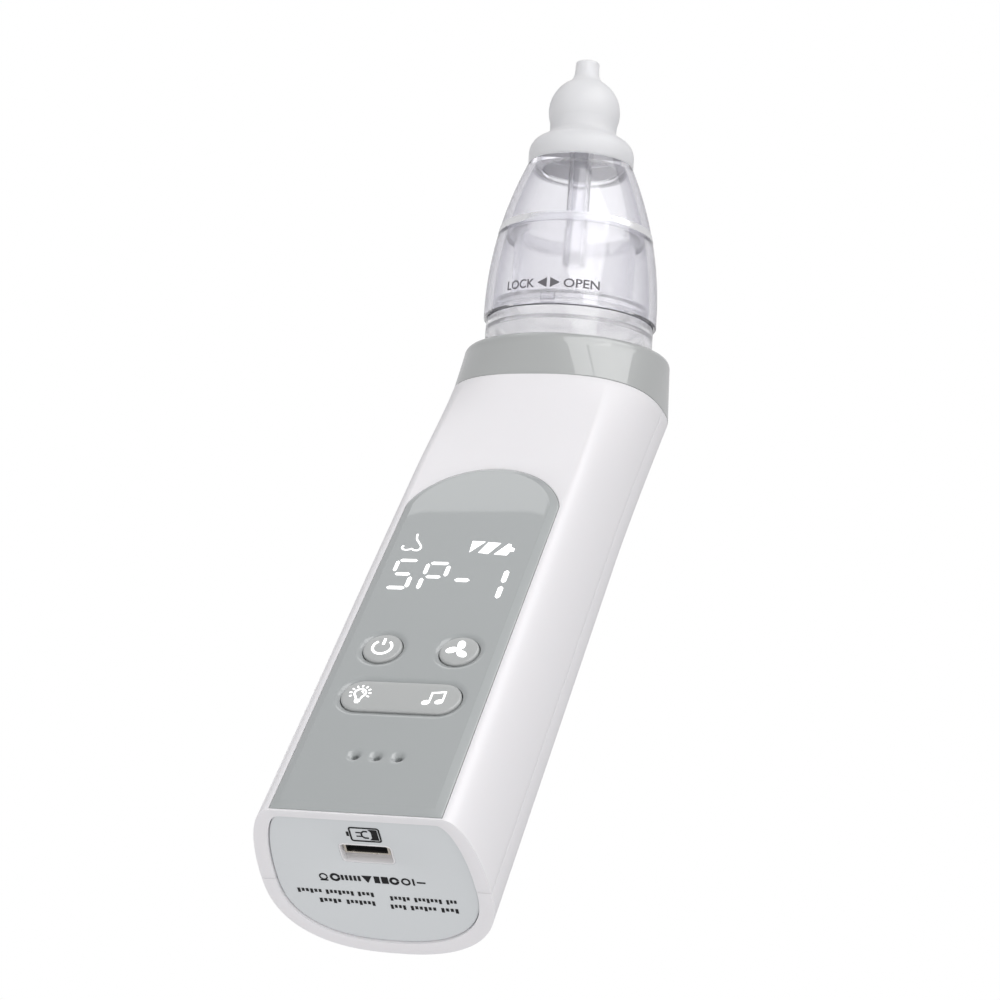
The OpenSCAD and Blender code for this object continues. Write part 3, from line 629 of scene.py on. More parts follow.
def rocker_loop(grow):
    return pill(0, ROCK_Z, ROCK_HALF + grow, ROCK_R + grow)


KEY_LOOPS = (power_loop, speed_loop, rocker_loop)
RECESS_GAP, WINDOW_GAP = 0.08, 0.5  # room round the panel and round each key
VENT_Z, VENT_PITCH, VENT_HALF, VENT_R = 110, 3.2, 4.6, 0.6

front_shell = shell("shell_front", section_front, True, "front_shell")
cut(front_shell, panel_loop(-RECESS_GAP), FRONT_Y - 2, FRONT_Y + 1.02)
for key_loop in KEY_LOOPS:
    cut(front_shell, key_loop(WINDOW_GAP), FRONT_Y + 0.5, FRONT_Y + 2.5)
bevel(front_shell, 0.2)
rear_shell = shell("shell_rear", section_rear, False, "rear_shell")
for i in range(-2, 3):
    vent = pill(0, VENT_Z + VENT_PITCH * i, VENT_HALF, VENT_R, 10)
    cut(rear_shell, vent, HALF_D - 4, HALF_D + 5)
bevel(rear_shell, 0.28)

# ---- front panel and keys

SOUND_Z, SOUND_PITCH = 12.2, 3.6
GAP = 0.14  # between a key and the panel
DISH = 0.38  # depth of the dish round a key
# radius and depth of each ring of a sound hole's funnel
FUNNEL = ((1.6, 0.0), (1.4, 0.02), (1.2, 0.07), (1.0, 0.18), (0.8, 0.38), (0.62, 0.56),
          (0.52, 0.68), (0.48, 0.8))


def dish(loop_at):
    """Rings of a shallow dish round a key: loop_at(grow) is the key's outline, grown."""
    steps = [(1.25, 0.0), (1.05, 0.015), (0.85, 0.07), (0.6, 0.18), (0.4, 0.29),
             (0.25, DISH - 0.03), (GAP + 0.04, DISH), (GAP, DISH + 0.06)]
    rings = [(loop_at(g), FIELD_Y + d) for g, d in steps]
    return rings + [(loop_at(GAP), PANEL_BACK)]


outer = [(panel_loop(0), PANEL_BACK)]
for inset, rise in ((0, -0.02), (0.05, 0.06), (0.14, 0.12), (0.6, 0.29), (1.1, 0.47),
                    (1.3, 0.545), (1.4, 0.575), (FIELD_INSET, FIELD_RISE)):
    outer.append((panel_loop(inset), FRONT_Y - rise))
holes = [dish(key_loop) for key_loop in KEY_LOOPS]
for k in (-1, 0, 1):
    hole = [(circle(SOUND_PITCH * k, SOUND_Z, r, 40), FIELD_Y + d) for r, d in FUNNEL]
    holes.append(hole + [(hole[-1][0], PANEL_BACK)])
verts, faces = plate_mesh(outer, holes, facing)
panel = add_piece("panel", verts, faces, "casing", M_PANEL, angle=38)
# large faces decide the normals, so that the flat field mirrors as a flat one
flat_first = panel.modifiers.new("flat_first", "WEIGHTED_NORMAL")
flat_first.weight = 100
flat_first.keep_sharp = True
apply_modifiers(panel)
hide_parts("front_panel")

KEY_TOP, KEY_BACK = FIELD_Y - 0.14, FRONT_Y + 2.0
KEY_EDGE, KEY_EDGE_STEPS = 0.42, 6


def key_piece(name, loop_at, body, node_name):
    """A key, from its back over a round edge to its slightly crowned top."""
    rings = [(loop_at(0), KEY_BACK), (loop_at(0), KEY_TOP + KEY_EDGE)]
    for i in range(1, KEY_EDGE_STEPS + 1):
        a = radians(90 * i / KEY_EDGE_STEPS)
        rings.append((loop_at(-KEY_EDGE * (1 - cos(a))),
                      KEY_TOP + KEY_EDGE * (1 - sin(a))))
    rings += [(loop_at(-1.0), KEY_TOP - 0.02), (loop_at(-1.8), KEY_TOP - 0.035)]
    verts, faces = loft_mesh([[facing(x, z, y) for x, z in loop] for loop, y in rings])
    obj = add_piece(name, verts, faces, body, M_KEY)
    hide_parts(node_name)


key_piece("key_power", power_loop, "power_button", "power_key")
key_piece("key_speed", speed_loop, "speed_button", "speed_key")
key_piece("key_rocker", rocker_loop, "rocker", "rocker_key")

# ---- flat symbols

LIFT, THICK = 0.012, 0.05  # a sign's clearance from its surface, and its thickness
ROUND_KEY_SIGN_Y = KEY_TOP - 0.03
ROCKER_SIGN_Y = KEY_TOP - 0.037


def glyph(name, polys, body, slot, mat, place):
    """Thin raised shapes. place turns (x, y, height above the surface) into a point."""
    verts, faces = [], []
    for poly in polys:
        first, n = len(verts), len(poly)
        for lift in (LIFT, LIFT + THICK):
            verts += [place(x, y, lift) for x, y in poly]
        loop = [(k, (k + 1) % n) for k in range(n)]
        filled = delaunay_2d_cdt([Vector(p) for p in poly], loop, [], 1, TOUCH)
        lookup = [o[0] for o in filled[3]]
        for tri in filled[2]:
            faces.append(tuple(first + lookup[i] for i in tri))
            faces.append(tuple(first + n + lookup[i] for i in reversed(tri)))
        faces += [(first + a, first + b, first + n + b, first + n + a) for a, b in loop]
    return add_piece(name, verts, faces, body, mat, smooth=False)


def ribbon(path, width):
    """Polygon of a line of even width, with square ends."""
    pts = [Vector(p) for p in path]
    ways = [(b - a).normalized() for a, b in zip(pts, pts[1:])]
    left, right = [], []
    for p, d1, d2 in zip(pts, ways[:1] + ways, ways + ways[-1:]):
        t = (d1 + d2).normalized()
        nrm = Vector((-t.y, t.x))
        k = 1 / max(0.5, nrm.dot(Vector((-d1.y, d1.x))))
        left.append(p + nrm * width / 2 * k)
        right.append(p - nrm * width / 2 * k)
    return [tuple(v) for v in left] + [tuple(v) for v in reversed(right)]


def on_panel(cx, cz, scale=1.0, depth=FIELD_Y):
    """Places a sign's points on the front, centred at (cx, cz)."""
    return lambda x, y, h: (cx + x * scale, depth - h, cz + y * scale)


def key_sign(name, polys, body, x, z, depth=ROUND_KEY_SIGN_Y, scale=1.0):
    glyph(name, polys, body, "panel_grey", M_LIT, on_panel(x, z, scale, depth))


def block(x0, x1, y0, y1):
    """A plain rectangle."""
    return [(x0, y0), (x1, y0), (x1, y1), (x0, y1)]


def bar(x0, z0, x1, z1, width):
    """A lit stroke with pointed ends."""
    a, b = Vector((x0, z0)), Vector((x1, z1))
    d = (b - a).normalized() * width * 0.42
    a, b = a + d * 0.3, b - d * 0.3
    n = Vector((-d.y, d.x))
    return [tuple(p) for p in (a, a + d + n, b - d + n, b, b - d - n, a + d - n)]


LIT_PANEL = ("casing", "display_white", M_LIT, on_panel(0, 0))

# each stroke's two ends and its width: a five, a P, a dash and a one
five = [(-10.3, 59.35, -6.95, 59.35, 0.8), (-10.45, 56.35, -10.45, 59.3, 0.75),
        (-10.25, 55.75, -7.25, 55.75, 0.85), (-7.1, 52.2, -7.1, 55.2, 0.85),
        (-10.7, 52.15, -7.2, 52.15, 0.95)]
letter = [(-4.6, 58.75, -1.15, 58.75, 0.85), (-4.85, 55.75, -4.85, 58.7, 0.8),
          (-1.05, 55.3, -1.05, 58.3, 0.85), (-4.55, 55.2, -1.65, 55.2, 0.85),
          (-4.95, 51.9, -4.95, 54.9, 0.85)]
dash = [(0.75, 54.55, 3.7, 54.55, 1.05)]
one = [(9.5, 54.0, 9.5, 57.5, 1.05), (9.5, 50.0, 9.5, 53.4, 1.05)]
digits = [bar(*stroke) for stroke in five + letter + dash + one]
glyph("readout", digits, *LIT_PANEL)

# three slanted bars and a nub: the charge sign
charge = [
    [(1.3, 64.9), (3.65, 64.8), (1.5, 61.9)],
    [(4.2, 64.65), (6.5, 64.5), (4.9, 61.6), (3.1, 61.85)],
    [(7.9, 64.4), (8.5, 64.1), (8.6, 63.4), (9.25, 63.2), (9.3, 62.4), (8.6, 62.3), (8.3, 61.3),
     (6.0, 61.5)],
]
glyph("charge_sign", charge, *LIT_PANEL)

# one line down the bridge of a nose, round its tip and along its wing
nose = [(-9.15, 66.5), (-9.05, 65.7), (-8.85, 65.0), (-8.3, 64.25), (-7.75, 63.5), (-7.5, 62.9),
        (-7.6, 62.4), (-8.0, 62.05), (-8.6, 62.1), (-9.1, 62.5), (-9.5, 62.25), (-10.1, 62.15),
        (-10.65, 62.3), (-10.95, 62.8), (-10.75, 63.3)]
glyph("nose_sign", [ribbon(nose, 0.3)], *LIT_PANEL)

# a ring that is open at its top, and a stroke in the opening
power = [ribbon(arc(0, 0, 1.62, 128, 412, 36), 0.42), block(-0.22, 0.22, 0.6, 2.05)]
key_sign("power_sign", power, "power_button", -KEY_X, KEY_Z)


def oval(cx, cy, rx, ry, tilt, n=20):
    """An ellipse, tilted by degrees."""
    c, s = cos(radians(tilt)), sin(radians(tilt))
    flat = [(rx * cos(2 * pi * k / n), ry * sin(2 * pi * k / n)) for k in range(n)]
    return [(cx + x * c - y * s, cy + x * s + y * c) for x, y in flat]


# three blades on a hub
fan = [circle(0, 0, 0.42, 16)]
for turn in (82, 186, 308):
    a = radians(turn)
    fan.append(oval(1.2 * cos(a), 1.2 * sin(a), 1.0, 0.68, turn + 18))
key_sign("speed_sign", fan, "speed_button", KEY_X, KEY_Z)

# a bulb with a glint, a screw cap of three bars, and nine rays
BULB_Y, RAYS = 0.25, 9
bulb = arc(0, BULB_Y, 0.95, -55, 235, 24)
lamp = [ribbon([(-0.42, -0.95)] + bulb[::-1] + [(0.42, -0.95)], 0.28),
        ribbon(arc(0, BULB_Y, 0.5, 0, 80, 6), 0.2)]
lamp += [block(-w, w, y, y + 0.22) for w, y in ((0.5, -1.35), (0.5, -1.72), (0.3, -2.05))]
for k in range(RAYS):
    a = radians(-25 + 230 * k / (RAYS - 1))
    c, d = cos(a), sin(a)
    lamp.append(ribbon([(r * c, BULB_Y + r * d) for r in (1.4, 1.85)], 0.26))
key_sign("lamp_sign", lamp, "rocker", -6.9, ROCK_Z, ROCKER_SIGN_Y)

note = [oval(-1.35, -1.45, 0.82, 0.58, 20), oval(1.15, -1.15, 0.82, 0.58, 20),
        ribbon([(-0.72, -1.0), (-0.72, 1.15), (1.78, 1.5), (1.78, -0.72)], 0.34)]
key_sign("note_sign", note, "rocker", 5.75, ROCK_Z, ROCKER_SIGN_Y, 0.86)

# ---- base

def base_loop(t):
    front = section_front(t, LEAD)
    return front + section_rear(t)[1:-1][::-1]


POCKET_HALF, POCKET_R = 4.4, 0.9
POCKET_LOW, POCKET_HIGH = -8.65, -4.55


def pocket_loop(grow):
    """The round-cornered opening for the charging socket."""
    x, low, high = POCKET_HALF + grow, POCKET_LOW - grow, POCKET_HIGH + grow
    return rounded([(px, py, POCKET_R + grow)
                    for px, py in ((-x, low), (x, low), (x, high), (-x, high))], 6)


BASE_Z, BASE_TOP = plate_low.z, plate_low.z + 1.6
BASE_EDGE, BASE_EDGE_STEPS = 0.25, 3
outer = [(base_loop(RIM), BASE_TOP), (base_loop(RIM), BASE_Z + BASE_EDGE)]
for i in range(1, BASE_EDGE_STEPS + 1):
    a = radians(90 * i / BASE_EDGE_STEPS)
    outer.append((base_loop(RIM + BASE_EDGE * (1 - cos(a))),
                  BASE_Z + BASE_EDGE * (1 - sin(a))))
hole = [(pocket_loop(0.12), BASE_Z), (pocket_loop(0.04), BASE_Z + 0.04),
        (pocket_loop(0.0), BASE_Z + 0.12), (pocket_loop(0.0), BASE_TOP)]
verts, faces = plate_mesh(outer, [hole], lambda x, y, z: (x, y, z))
base = add_piece("base_cover", verts, faces, "casing", M_BASE, angle=38)
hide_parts("base_plate")


def base_loft(name, rings, mat):
    """A piece from (loop, height) rings."""
    verts, faces = loft_mesh([[(x, y, z) for x, y in loop] for loop, z in rings])
    add_piece(name, verts, faces, "casing", mat)


# the white pocket round the charging socket: down its outside, then up its inside
base_loft("socket_pocket", [
    (pocket_loop(-0.02), 2.9), (pocket_loop(-0.02), BASE_Z + 0.1),
    (pocket_loop(-0.16), BASE_Z + 0.02), (pocket_loop(-0.22), BASE_Z + 0.02),
    (pocket_loop(-0.3), BASE_Z + 0.12), (pocket_loop(-0.3), 2.2)], M_LINER)

# a thin black sleeve lining the charging socket: painted shade of its deep inside
metal_low, metal_high = (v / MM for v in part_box("usb_shell"))
THROAT_HALF, THROAT_FOOT, THROAT_DEPTH = 3.4, 2.7, 0.9


def throat_loop(t):
    """The socket's mouth, inset by t, with one side narrower."""
    y = metal_low.y + 1.2
    wide, narrow, depth = THROAT_HALF - t, THROAT_FOOT - t, THROAT_DEPTH - t
    return [(wide, y + depth), (-wide, y + depth), (-wide, y - 0.3), (-narrow, y - depth),
            (narrow, y - depth), (wide, y - 0.3)]


base_loft("socket_painted_shade", [
    (throat_loop(0.12), metal_high.z - 0.3), (throat_loop(0.12), metal_low.z + 0.35),
    (throat_loop(0.04), metal_low.z + 0.35), (throat_loop(0.04), metal_high.z - 0.2)],
    M_BLACK_PRINT_AND_SHADE)


def under(x, y, h):
    """Places a sign's points on the base, h below its face."""
    return (x, y, BASE_Z - h)


def base_print(name, polys):
    glyph(name, polys, "casing", "base_grey", M_BLACK_PRINT_AND_SHADE, under)


# a battery with a plug inside; the outline is left open by a hair, so that it fills as a line
frame_line = rounded([(x, y, 0.35) for x, y in
                      ((-1.7, -12.3), (3.1, -12.3), (3.1, -9.5), (-1.7, -9.5))], 4)
plug = [
    ribbon([(-1.7, -10.94)] + frame_line + [(-1.7, -10.86)], 0.26),
    block(-2.35, -1.95, -11.35, -10.45),
    [(1.35, -12.0), (2.8, -12.0), (2.8, -9.8), (1.35, -9.8), (1.75, -10.3), (1.75, -11.5)],
    ribbon([(1.2, -11.6), (0.55, -11.6), (0.15, -11.25), (0.15, -10.55), (0.55, -10.2),
            (1.2, -10.2)], 0.26),
    block(-0.75, 0.05, -11.4, -11.18), block(-0.75, 0.05, -10.62, -10.4),
]
base_print("charge_mark", plug)


def hoop(x, r, width):
    return ribbon(arc(x, -1.0, r, 0, 350, 40), width)


DASH_TALL, DASH_LOW, DASH_PITCH, DASH_FILL, WORD_GAP = 0.95, 0.68, 0.72, 0.62, 0.35


def dashes(x0, x1, y, words):
    """A line of small dashes in place of real print; words gives the widths of its groups."""
    k = (x1 - x0) / (sum(words) + WORD_GAP * (len(words) - 1))
    out, x = [], x0
    for w in words:
        n = max(2, round(w * k / DASH_PITCH))
        for i in range(n):
            a = x + w * k * i / n
            tall = DASH_TALL * (1.0 if i % 3 == 0 else DASH_LOW)
            out.append(block(a, a + w * k / n * DASH_FILL, y, y + tall))
        x += (w + WORD_GAP) * k
    return out


base_print("base_dashes", dashes(-13.6, -0.6, 2.0, (3, 3.4, 2)) +
           dashes(1.8, 12.9, 2.5, (2.2, 3, 1.2)) + dashes(-10.3, -0.8, 4.0, (2, 2.6)) +
           dashes(1.5, 12.9, 4.4, (1.6, 2.6, 1.8)))

# plain blocks, rings and bars in place of the real line of signs
marks = [block(-9.1, -7.8, -0.35, -0.1), hoop(-8.45, 0.6, 0.24), hoop(-6.5, 0.65, 0.42),
         hoop(3.3, 0.6, 0.42)]
marks += [block(x, x + 0.42, -1.6, -0.5) for x in (-5.5, -4.8, -4.1, -3.4, -2.7)]
marks += [[(-2.0, -1.75), (-0.3, -1.75), (-1.15, -0.2)], hoop(5.2, 0.62, 0.3)]
marks += [block(x0, x1, -1.75, -0.3) for x0, x1 in ((0.0, 0.9), (1.2, 2.3), (6.3, 6.6))]
marks.append(block(7.0, 8.4, -1.15, -0.85))
base_print("base_marks", marks)

# ---- collar

COLLAR_R, COLLAR_EDGE, COLLAR_SEGS, COLLAR_STEPS = 20.0, 1.6, 192, 8
COLLAR_GAP, COLLAR_FOOT_EDGE, COLLAR_FOOT_T = 0.06, 0.2, 2.0
SOCKET_R, SEAT_R, SEAT_LOW, SEAT_TOP = 16.6, 13.4, -7.8, -7.0


def collar_foot(turn, t, lift):
    """A point just above the joint's plane, in the head's frame."""
    x, y = joint_outline(turn, t)
    return HEAD.inverted() @ Vector((x, y, joint_height(y) + COLLAR_GAP + lift))


def collar_skin(turn, rise):
    """A point of the collar's outside: rise is 0 at its foot and 1 at its round edge."""
    shoulder = Vector((sin(turn), -cos(turn), 0)) * COLLAR_R
    return collar_foot(turn, 0.0, COLLAR_FOOT_EDGE).lerp(
        shoulder + Vector((0, 0, -COLLAR_EDGE)), rise)


top = arc(COLLAR_R - COLLAR_EDGE, -COLLAR_EDGE, COLLAR_EDGE, 0, 90, COLLAR_STEPS)
inside = [(SOCKET_R + 0.3, 0.0), (SOCKET_R + 0.09, -0.09), (SOCKET_R, -0.3),
          (SOCKET_R, SEAT_TOP), (SEAT_R, SEAT_TOP), (SEAT_R, SEAT_LOW), (18.0, SEAT_LOW)]
columns = []
for k in range(COLLAR_SEGS):
    turn = 2 * pi * k / COLLAR_SEGS
    out = Vector((sin(turn), -cos(turn), 0))
    column = [collar_foot(turn, COLLAR_FOOT_EDGE, 0.0)]
    column += [collar_skin(turn, i / COLLAR_STEPS) for i in range(COLLAR_STEPS)]
    column += [out * r + Vector((0, 0, h)) for r, h in top + inside]
    columns.append(column + [collar_foot(turn, COLLAR_FOOT_T, 0.0)])
verts = [p for column in columns for p in column]
n = len(columns[0])
faces = [(k * n + i, (k + 1) % COLLAR_SEGS * n + i,
          (k + 1) % COLLAR_SEGS * n + (i + 1) % n, k * n + (i + 1) % n)
         for k in range(COLLAR_SEGS) for i in range(n)]
collar = add_piece("collar_ring", verts, faces, "casing", M_COLLAR, HEAD)
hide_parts("collar")

# ---- clear head

# every profile below is a list of (radius, height) in the head's frame
BELL_R, BELL_ARC, BELL_WALL = 16.85, 73.6, 1.5
LIP_H, BELL_FOOT, TOP_H = 6.2, 8, 38.1  # the bell is straight up to BELL_FOOT
INSIDE_TOP = TOP_H - 1.2
OUTSIDE_STEPS, INSIDE_STEPS, BELL_SEGS = 36, 30, 192


def bell_r(h, t=0.0):
    """Radius of the bell at a height, inset by t."""
    return BELL_R - t - (BELL_ARC - sqrt(BELL_ARC ** 2 - max(0.0, h - BELL_FOOT) ** 2))


def bell_profile():
    outside = [(BELL_R - 0.25, LIP_H), (BELL_R, LIP_H + 0.25), (BELL_R, 7.2)]
    heights = [BELL_FOOT + (TOP_H - BELL_FOOT) * i / OUTSIDE_STEPS
               for i in range(OUTSIDE_STEPS + 1)]
    outside += [(bell_r(h), h) for h in heights]
    boss = rounded([(9.2, TOP_H, 0.15), (9.2, 42.0, 0.4), (2.2, 42.0, 0.3), (2.2, 45.6, 0.25),
                    (1.3, 45.6, 0.2), (1.3, 17.5, 0.12), (2.2, 17.5, 0.2), (2.2, 40.4, 0.7),
                    (7.6, 40.4, 0.8), (7.6, INSIDE_TOP, 0.3)], 5, closed=False)
    heights = [BELL_FOOT + (INSIDE_TOP - BELL_FOOT) * i / INSIDE_STEPS
               for i in range(INSIDE_STEPS, -1, -1)]
    inside = [(bell_r(h, BELL_WALL), h) for h in heights]
    inside += [(BELL_R - BELL_WALL, LIP_H + 0.2), (BELL_R - (BELL_WALL - 0.2), LIP_H)]
    return outside + boss + inside


bell = revolve("bell_clear", bell_profile(), "bell", "clear_plastic", M_CLEAR, BELL_SEGS)
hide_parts("cup_bell")

# the cup: its collar with a ring groove, its floor, and its tall round wall
cup_profile = rounded([
    (0, 8.0, 0), (14.0, 8.0, 0.4), (14.0, 4.7, 0.3), (14.8, 3.7, 0.3), (14.8, -4.4, 0.2),
    (16.3, -4.4, 0.25), (16.3, -3.2, 0), (15.5, -3.2, 0), (15.5, -1.8, 0), (16.3, -1.8, 0),
    (16.3, 6.1, 0.3), (15.0, 6.1, 0.15), (15.0, 9.5, 0.5), (12.0, 9.5, 0.4), (12.0, 22.1, 0.5),
    (12.8, 23.3, 0.3), (12.8, 25.1, 0.25), (10.7, 25.1, 0.25), (10.7, 10.5, 1.0),
    (9.7, 9.5, 0.6), (0, 9.5, 0)], 5, closed=False)
cup = revolve("cup_clear", cup_profile, "liner", "clear_plastic", M_CUP, BELL_SEGS, closed=False)
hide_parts("inner_cup")
for i in range(3):
    lug = rounded([(14.9, 7.2, 0.1), (15.6, 7.2, 0.15), (15.6, 8.5, 0.15), (14.9, 8.5, 0.1)], 3)
    revolve("lug_%d" % (i + 1), lug, "liner", "clear_plastic", M_CLEAR, 10,
            start=120 * i - 95, sweep=10)

SEAL_LOW, SEAL_TOP = 23.35, 25.05
r_in, r_out = 12.83, bell_r(25.1, BELL_WALL) - 0.05
band = rounded([(r_in, SEAL_LOW, 0.1), (r_out, SEAL_LOW, 0.15), (r_out, SEAL_TOP, 0.15),
                (r_in, SEAL_TOP, 0.1)], 3)
gasket = revolve("band_seal", band, "liner", "silicone", M_GASKET)
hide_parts("cup_gasket")

# a faint raised band on the bell, at the seal's height
BAND_LOW, BAND_TALL, BAND_STEPS = 23.35, 1.65, 8
BAND_GAP, BAND_RISE, BAND_EDGE = 0.01, 0.07, 0.04
heights = [BAND_LOW + BAND_TALL * i / BAND_STEPS for i in range(BAND_STEPS + 1)]
ring = [(bell_r(h) + BAND_GAP, h) for h in reversed(heights)]
ring.append((bell_r(heights[0]) + BAND_GAP, heights[0] + BAND_EDGE))
ring += [(bell_r(h) + BAND_RISE, h) for h in heights[1:-1]]
ring.append((bell_r(heights[-1]) + BAND_GAP, heights[-1] - BAND_EDGE))
revolve("bell_band", ring, "bell", "clear_plastic", M_GASKET, BELL_SEGS, angle=50)

# ---- nozzle

# up the outside over skirt, waist, ball and tip, then down the inside
BALL_H, BALL_R, BALL_WALL = 49.7, 7.07, 1.2
soft = [(9.22, 38.2), (10.15, 38.2), (10.4, 38.45)] + arc(7.0, 40.6, 3.4, 0, 62, 9)
soft += [(8.05, 43.95), (7.45, 44.35), (6.95, 44.75), (6.65, 45.2), (6.55, 45.75), (6.6, 46.4)]
soft += arc(0, BALL_H, BALL_R, -20, 60, 22)
soft += [(3.15, 56.15), (2.75, 56.7), (2.5, 57.4), (2.4, 58.2), (2.35, 59.4)]
soft += arc(1.95, 59.8, 0.4, 0, 90, 5)
soft += [(1.45, 60.2), (1.2, 60.1), (1.1, 59.85), (1.1, 56.0)]
soft += arc(0, BALL_H, BALL_R - BALL_WALL, 72, -36, 20)
soft += [(5.0, 44.4), (5.0, 42.4), (5.4, 42.05), (9.22, 42.05)]
nozzle = revolve("nozzle_soft", soft, "tip", "silicone", M_SILICONE, angle=50)
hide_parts("nozzle")

# ---- twist marks printed on the bell

def text_mesh(text, size):
    """Flat points and polygons of letters in Blender's built-in face."""
    curve = bpy.data.curves.new("letters", "FONT")
    curve.body = text
    curve.size = size
    curve.resolution_u = 4
    curve.offset = 0.012 * size
    curve.fill_mode = "FRONT"
    obj = bpy.data.objects.new("letters", curve)
    scene.collection.objects.link(obj)
    deps = bpy.context.evaluated_depsgraph_get()
    deps.update()
    mesh = bpy.data.meshes.new_from_object(obj.evaluated_get(deps))
    verts = [tuple(v.co[:2]) for v in mesh.vertices]
    tris = [tuple(p.vertices) for p in mesh.polygons]
    bpy.data.objects.remove(obj)
    bpy.data.curves.remove(curve)
    bpy.data.meshes.remove(mesh)
    return verts, tris


def wrap(x, h, lift):
    """A point on the bell's front, x mm round from the middle and h mm up."""
    a = x / BELL_R - pi / 2
    r = bell_r(h) + lift
    return (r * cos(a), r * sin(a), h)


def printed(name, flat, tris, x0):
    """A print on the bell from flat points and triangles, x0 mm round from its front."""
    n = len(flat)
    edges = dict.fromkeys((a, b) for t in tris for a, b in zip(t, t[1:] + t[:1]))
    verts = [wrap(x0 + x, MARK_H + y, lift) for lift in (LIFT, LIFT + THICK) for x, y in flat]
    faces = [tuple(reversed(t)) for t in tris] + [tuple(i + n for i in t) for t in tris]
    faces += [(a, b, b + n, a + n) for a, b in edges if (b, a) not in edges]
    add_piece(name, verts, faces, "bell", M_PRINT, HEAD, smooth=False)


MARK_H, LETTER_SIZE, LETTER_STRETCH = 9.35, 2.3, 1.05
for word, left, right in (("LOCK", -8.8, -2.55), ("OPEN", 3.25, 10.2)):
    flat, tris = text_mesh(word, LETTER_SIZE)
    low, high = min(x for x, y in flat), max(x for x, y in flat)
    k = (right - left) / (high - low)
    flat = [((x - low) * k, y * LETTER_STRETCH) for x, y in flat]
    printed("mark_" + word.lower(), flat, tris, left)
printed("mark_arrow_lock", [(-1.95, 0.88), (0.0, -0.1), (0.0, 1.86)], [(0, 1, 2)], 0)
printed("mark_arrow_open", [(2.55, 0.88), (0.65, 1.86), (0.65, -0.1)], [(0, 1, 2)], 0)

# ---- floor, light, camera

# from here on, positions are in metres
FLOOR_HALF, FLOOR_Z = 3.0, -0.0002
FLOOR_RGBA, FLOOR_GLOW = (0.26, 0.26, 0.262, 1), (0.6, 0.6, 0.605, 1)

floor_mesh = bpy.data.meshes.new("floor")
corners = block(-FLOOR_HALF, FLOOR_HALF, -FLOOR_HALF, FLOOR_HALF)
floor_mesh.from_pydata([(x, y, 0) for x, y in corners], [], [(0, 1, 2, 3)])
floor = bpy.data.objects.new("floor", floor_mesh)
floor.location.z = FLOOR_Z
scene.collection.objects.link(floor)
floor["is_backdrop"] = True
# the floor is matte with an even glow, and it can't be seen from below, where the camera is
floor_mat = bpy.data.materials.new("pale_floor")
t = new_tree(floor_mat)
out = node(t, "OutputMaterial")
matte = node(t, "BsdfDiffuse", Color=FLOOR_RGBA)
glow = node(t, "Emission", Color=FLOOR_GLOW)
both = node(t, "AddShader")
see = node(t, "BsdfTransparent")
mix = node(t, "MixShader")
geo = node(t, "NewGeometry")
path = node(t, "LightPath")
either = node(t, "Math", operation="MAXIMUM")
wire(t, (geo, "Backfacing", either, 0), (path, "Is Shadow Ray", either, 1),
     (either, 0, mix, "Fac"), (matte, 0, both, 0), (glow, 0, both, 1), (both, 0, mix, 1),
     (see, 0, mix, 2), (mix, 0, out, "Surface"))
floor.data.materials.append(floor_mat)
floor.visible_diffuse = False
floor.visible_glossy = False
floor.visible_transmission = False

CAMERA = Vector((0.13117, -0.26131, -0.23411))
AHEAD = Vector((-0.30785, 0.58976, 0.74660))
CAMERA_SIDE = Vector((0.95132, 0.17839, 0.25134))
CAMERA_UP = Vector((-0.01504, -0.78763, 0.61597))

# the camera sees a white studio, through clear walls it darkens away from the view's
# direction, and everything else is lit evenly
EVEN = (0.62, 0.62, 0.63, 1)
BEHIND = (0.55, 0.55, 0.572, 1)
world = bpy.data.worlds.new("studio")
scene.world = world
t = new_tree(world)
out = node(t, "OutputWorld")
bright = node(t, "Background", Color=WHITE)
soft = node(t, "Background")
path = node(t, "LightPath")
mix = node(t, "MixShader")
coords = node(t, "TexCoord")
along = node(t, "VectorMath", {1: AHEAD}, operation="DOT_PRODUCT")
ramp = node(t, "ValToRGB")
ramp.color_ramp.elements[0].color = BEHIND
share = node(t, "MapRange", {"From Min": -1.0, "From Max": 1.0})
even = node(t, "Background", Color=EVEN)
kind = node(t, "MixShader")
wire(t, (coords, "Generated", along, 0), (along, "Value", share, "Value"),
     (share, "Result", ramp, "Fac"), (ramp, "Color", soft, "Color"),
     (path, "Is Transmission Ray", kind, "Fac"), (even, 0, kind, 1), (soft, 0, kind, 2),
     (path, "Is Camera Ray", mix, "Fac"), (kind, 0, mix, 1), (bright, 0, mix, 2),
     (mix, 0, out, "Surface"))


def area(name, at, turn, size, power):
    """A rectangular light whose own -Z points where it shines."""
    data = bpy.data.lights.new(name, "AREA")
    data.shape = "RECTANGLE"
    data.size, data.size_y = size
    data.energy = power
    obj = bpy.data.objects.new(name, data)
    obj.location = at
    obj.rotation_mode = "QUATERNION"
    obj.rotation_quaternion = turn
    scene.collection.objects.link(obj)
    return obj


def aimed(name, at, aim, size, power):
    area(name, at, (Vector(aim) - Vector(at)).to_track_quat("-Z", "Y"), size, power)


def card_axes(edge_way, view_way):
    """Axes of a card seen along view_way, with its width along edge_way."""
    card_up = view_way.cross(edge_way).normalized()
    return Matrix((edge_way, card_up, edge_way.cross(card_up))).transposed()


MIDDLE = (0, 0, 0.09)
aimed("key_light", (0.45, -0.8, 0.15), MIDDLE, (0.7, 0.7), 3.9)
aimed("side_light", (0.9, -0.25, -0.25), MIDDLE, (0.6, 0.9), 0.9)
aimed("under_light", (-0.15, -0.2, -0.85), (0, 0, 0), (0.8, 0.8), 2.2)
aimed("back_light", (-0.6, 0.8, 0.5), MIDDLE, (0.8, 0.8), 1.8)

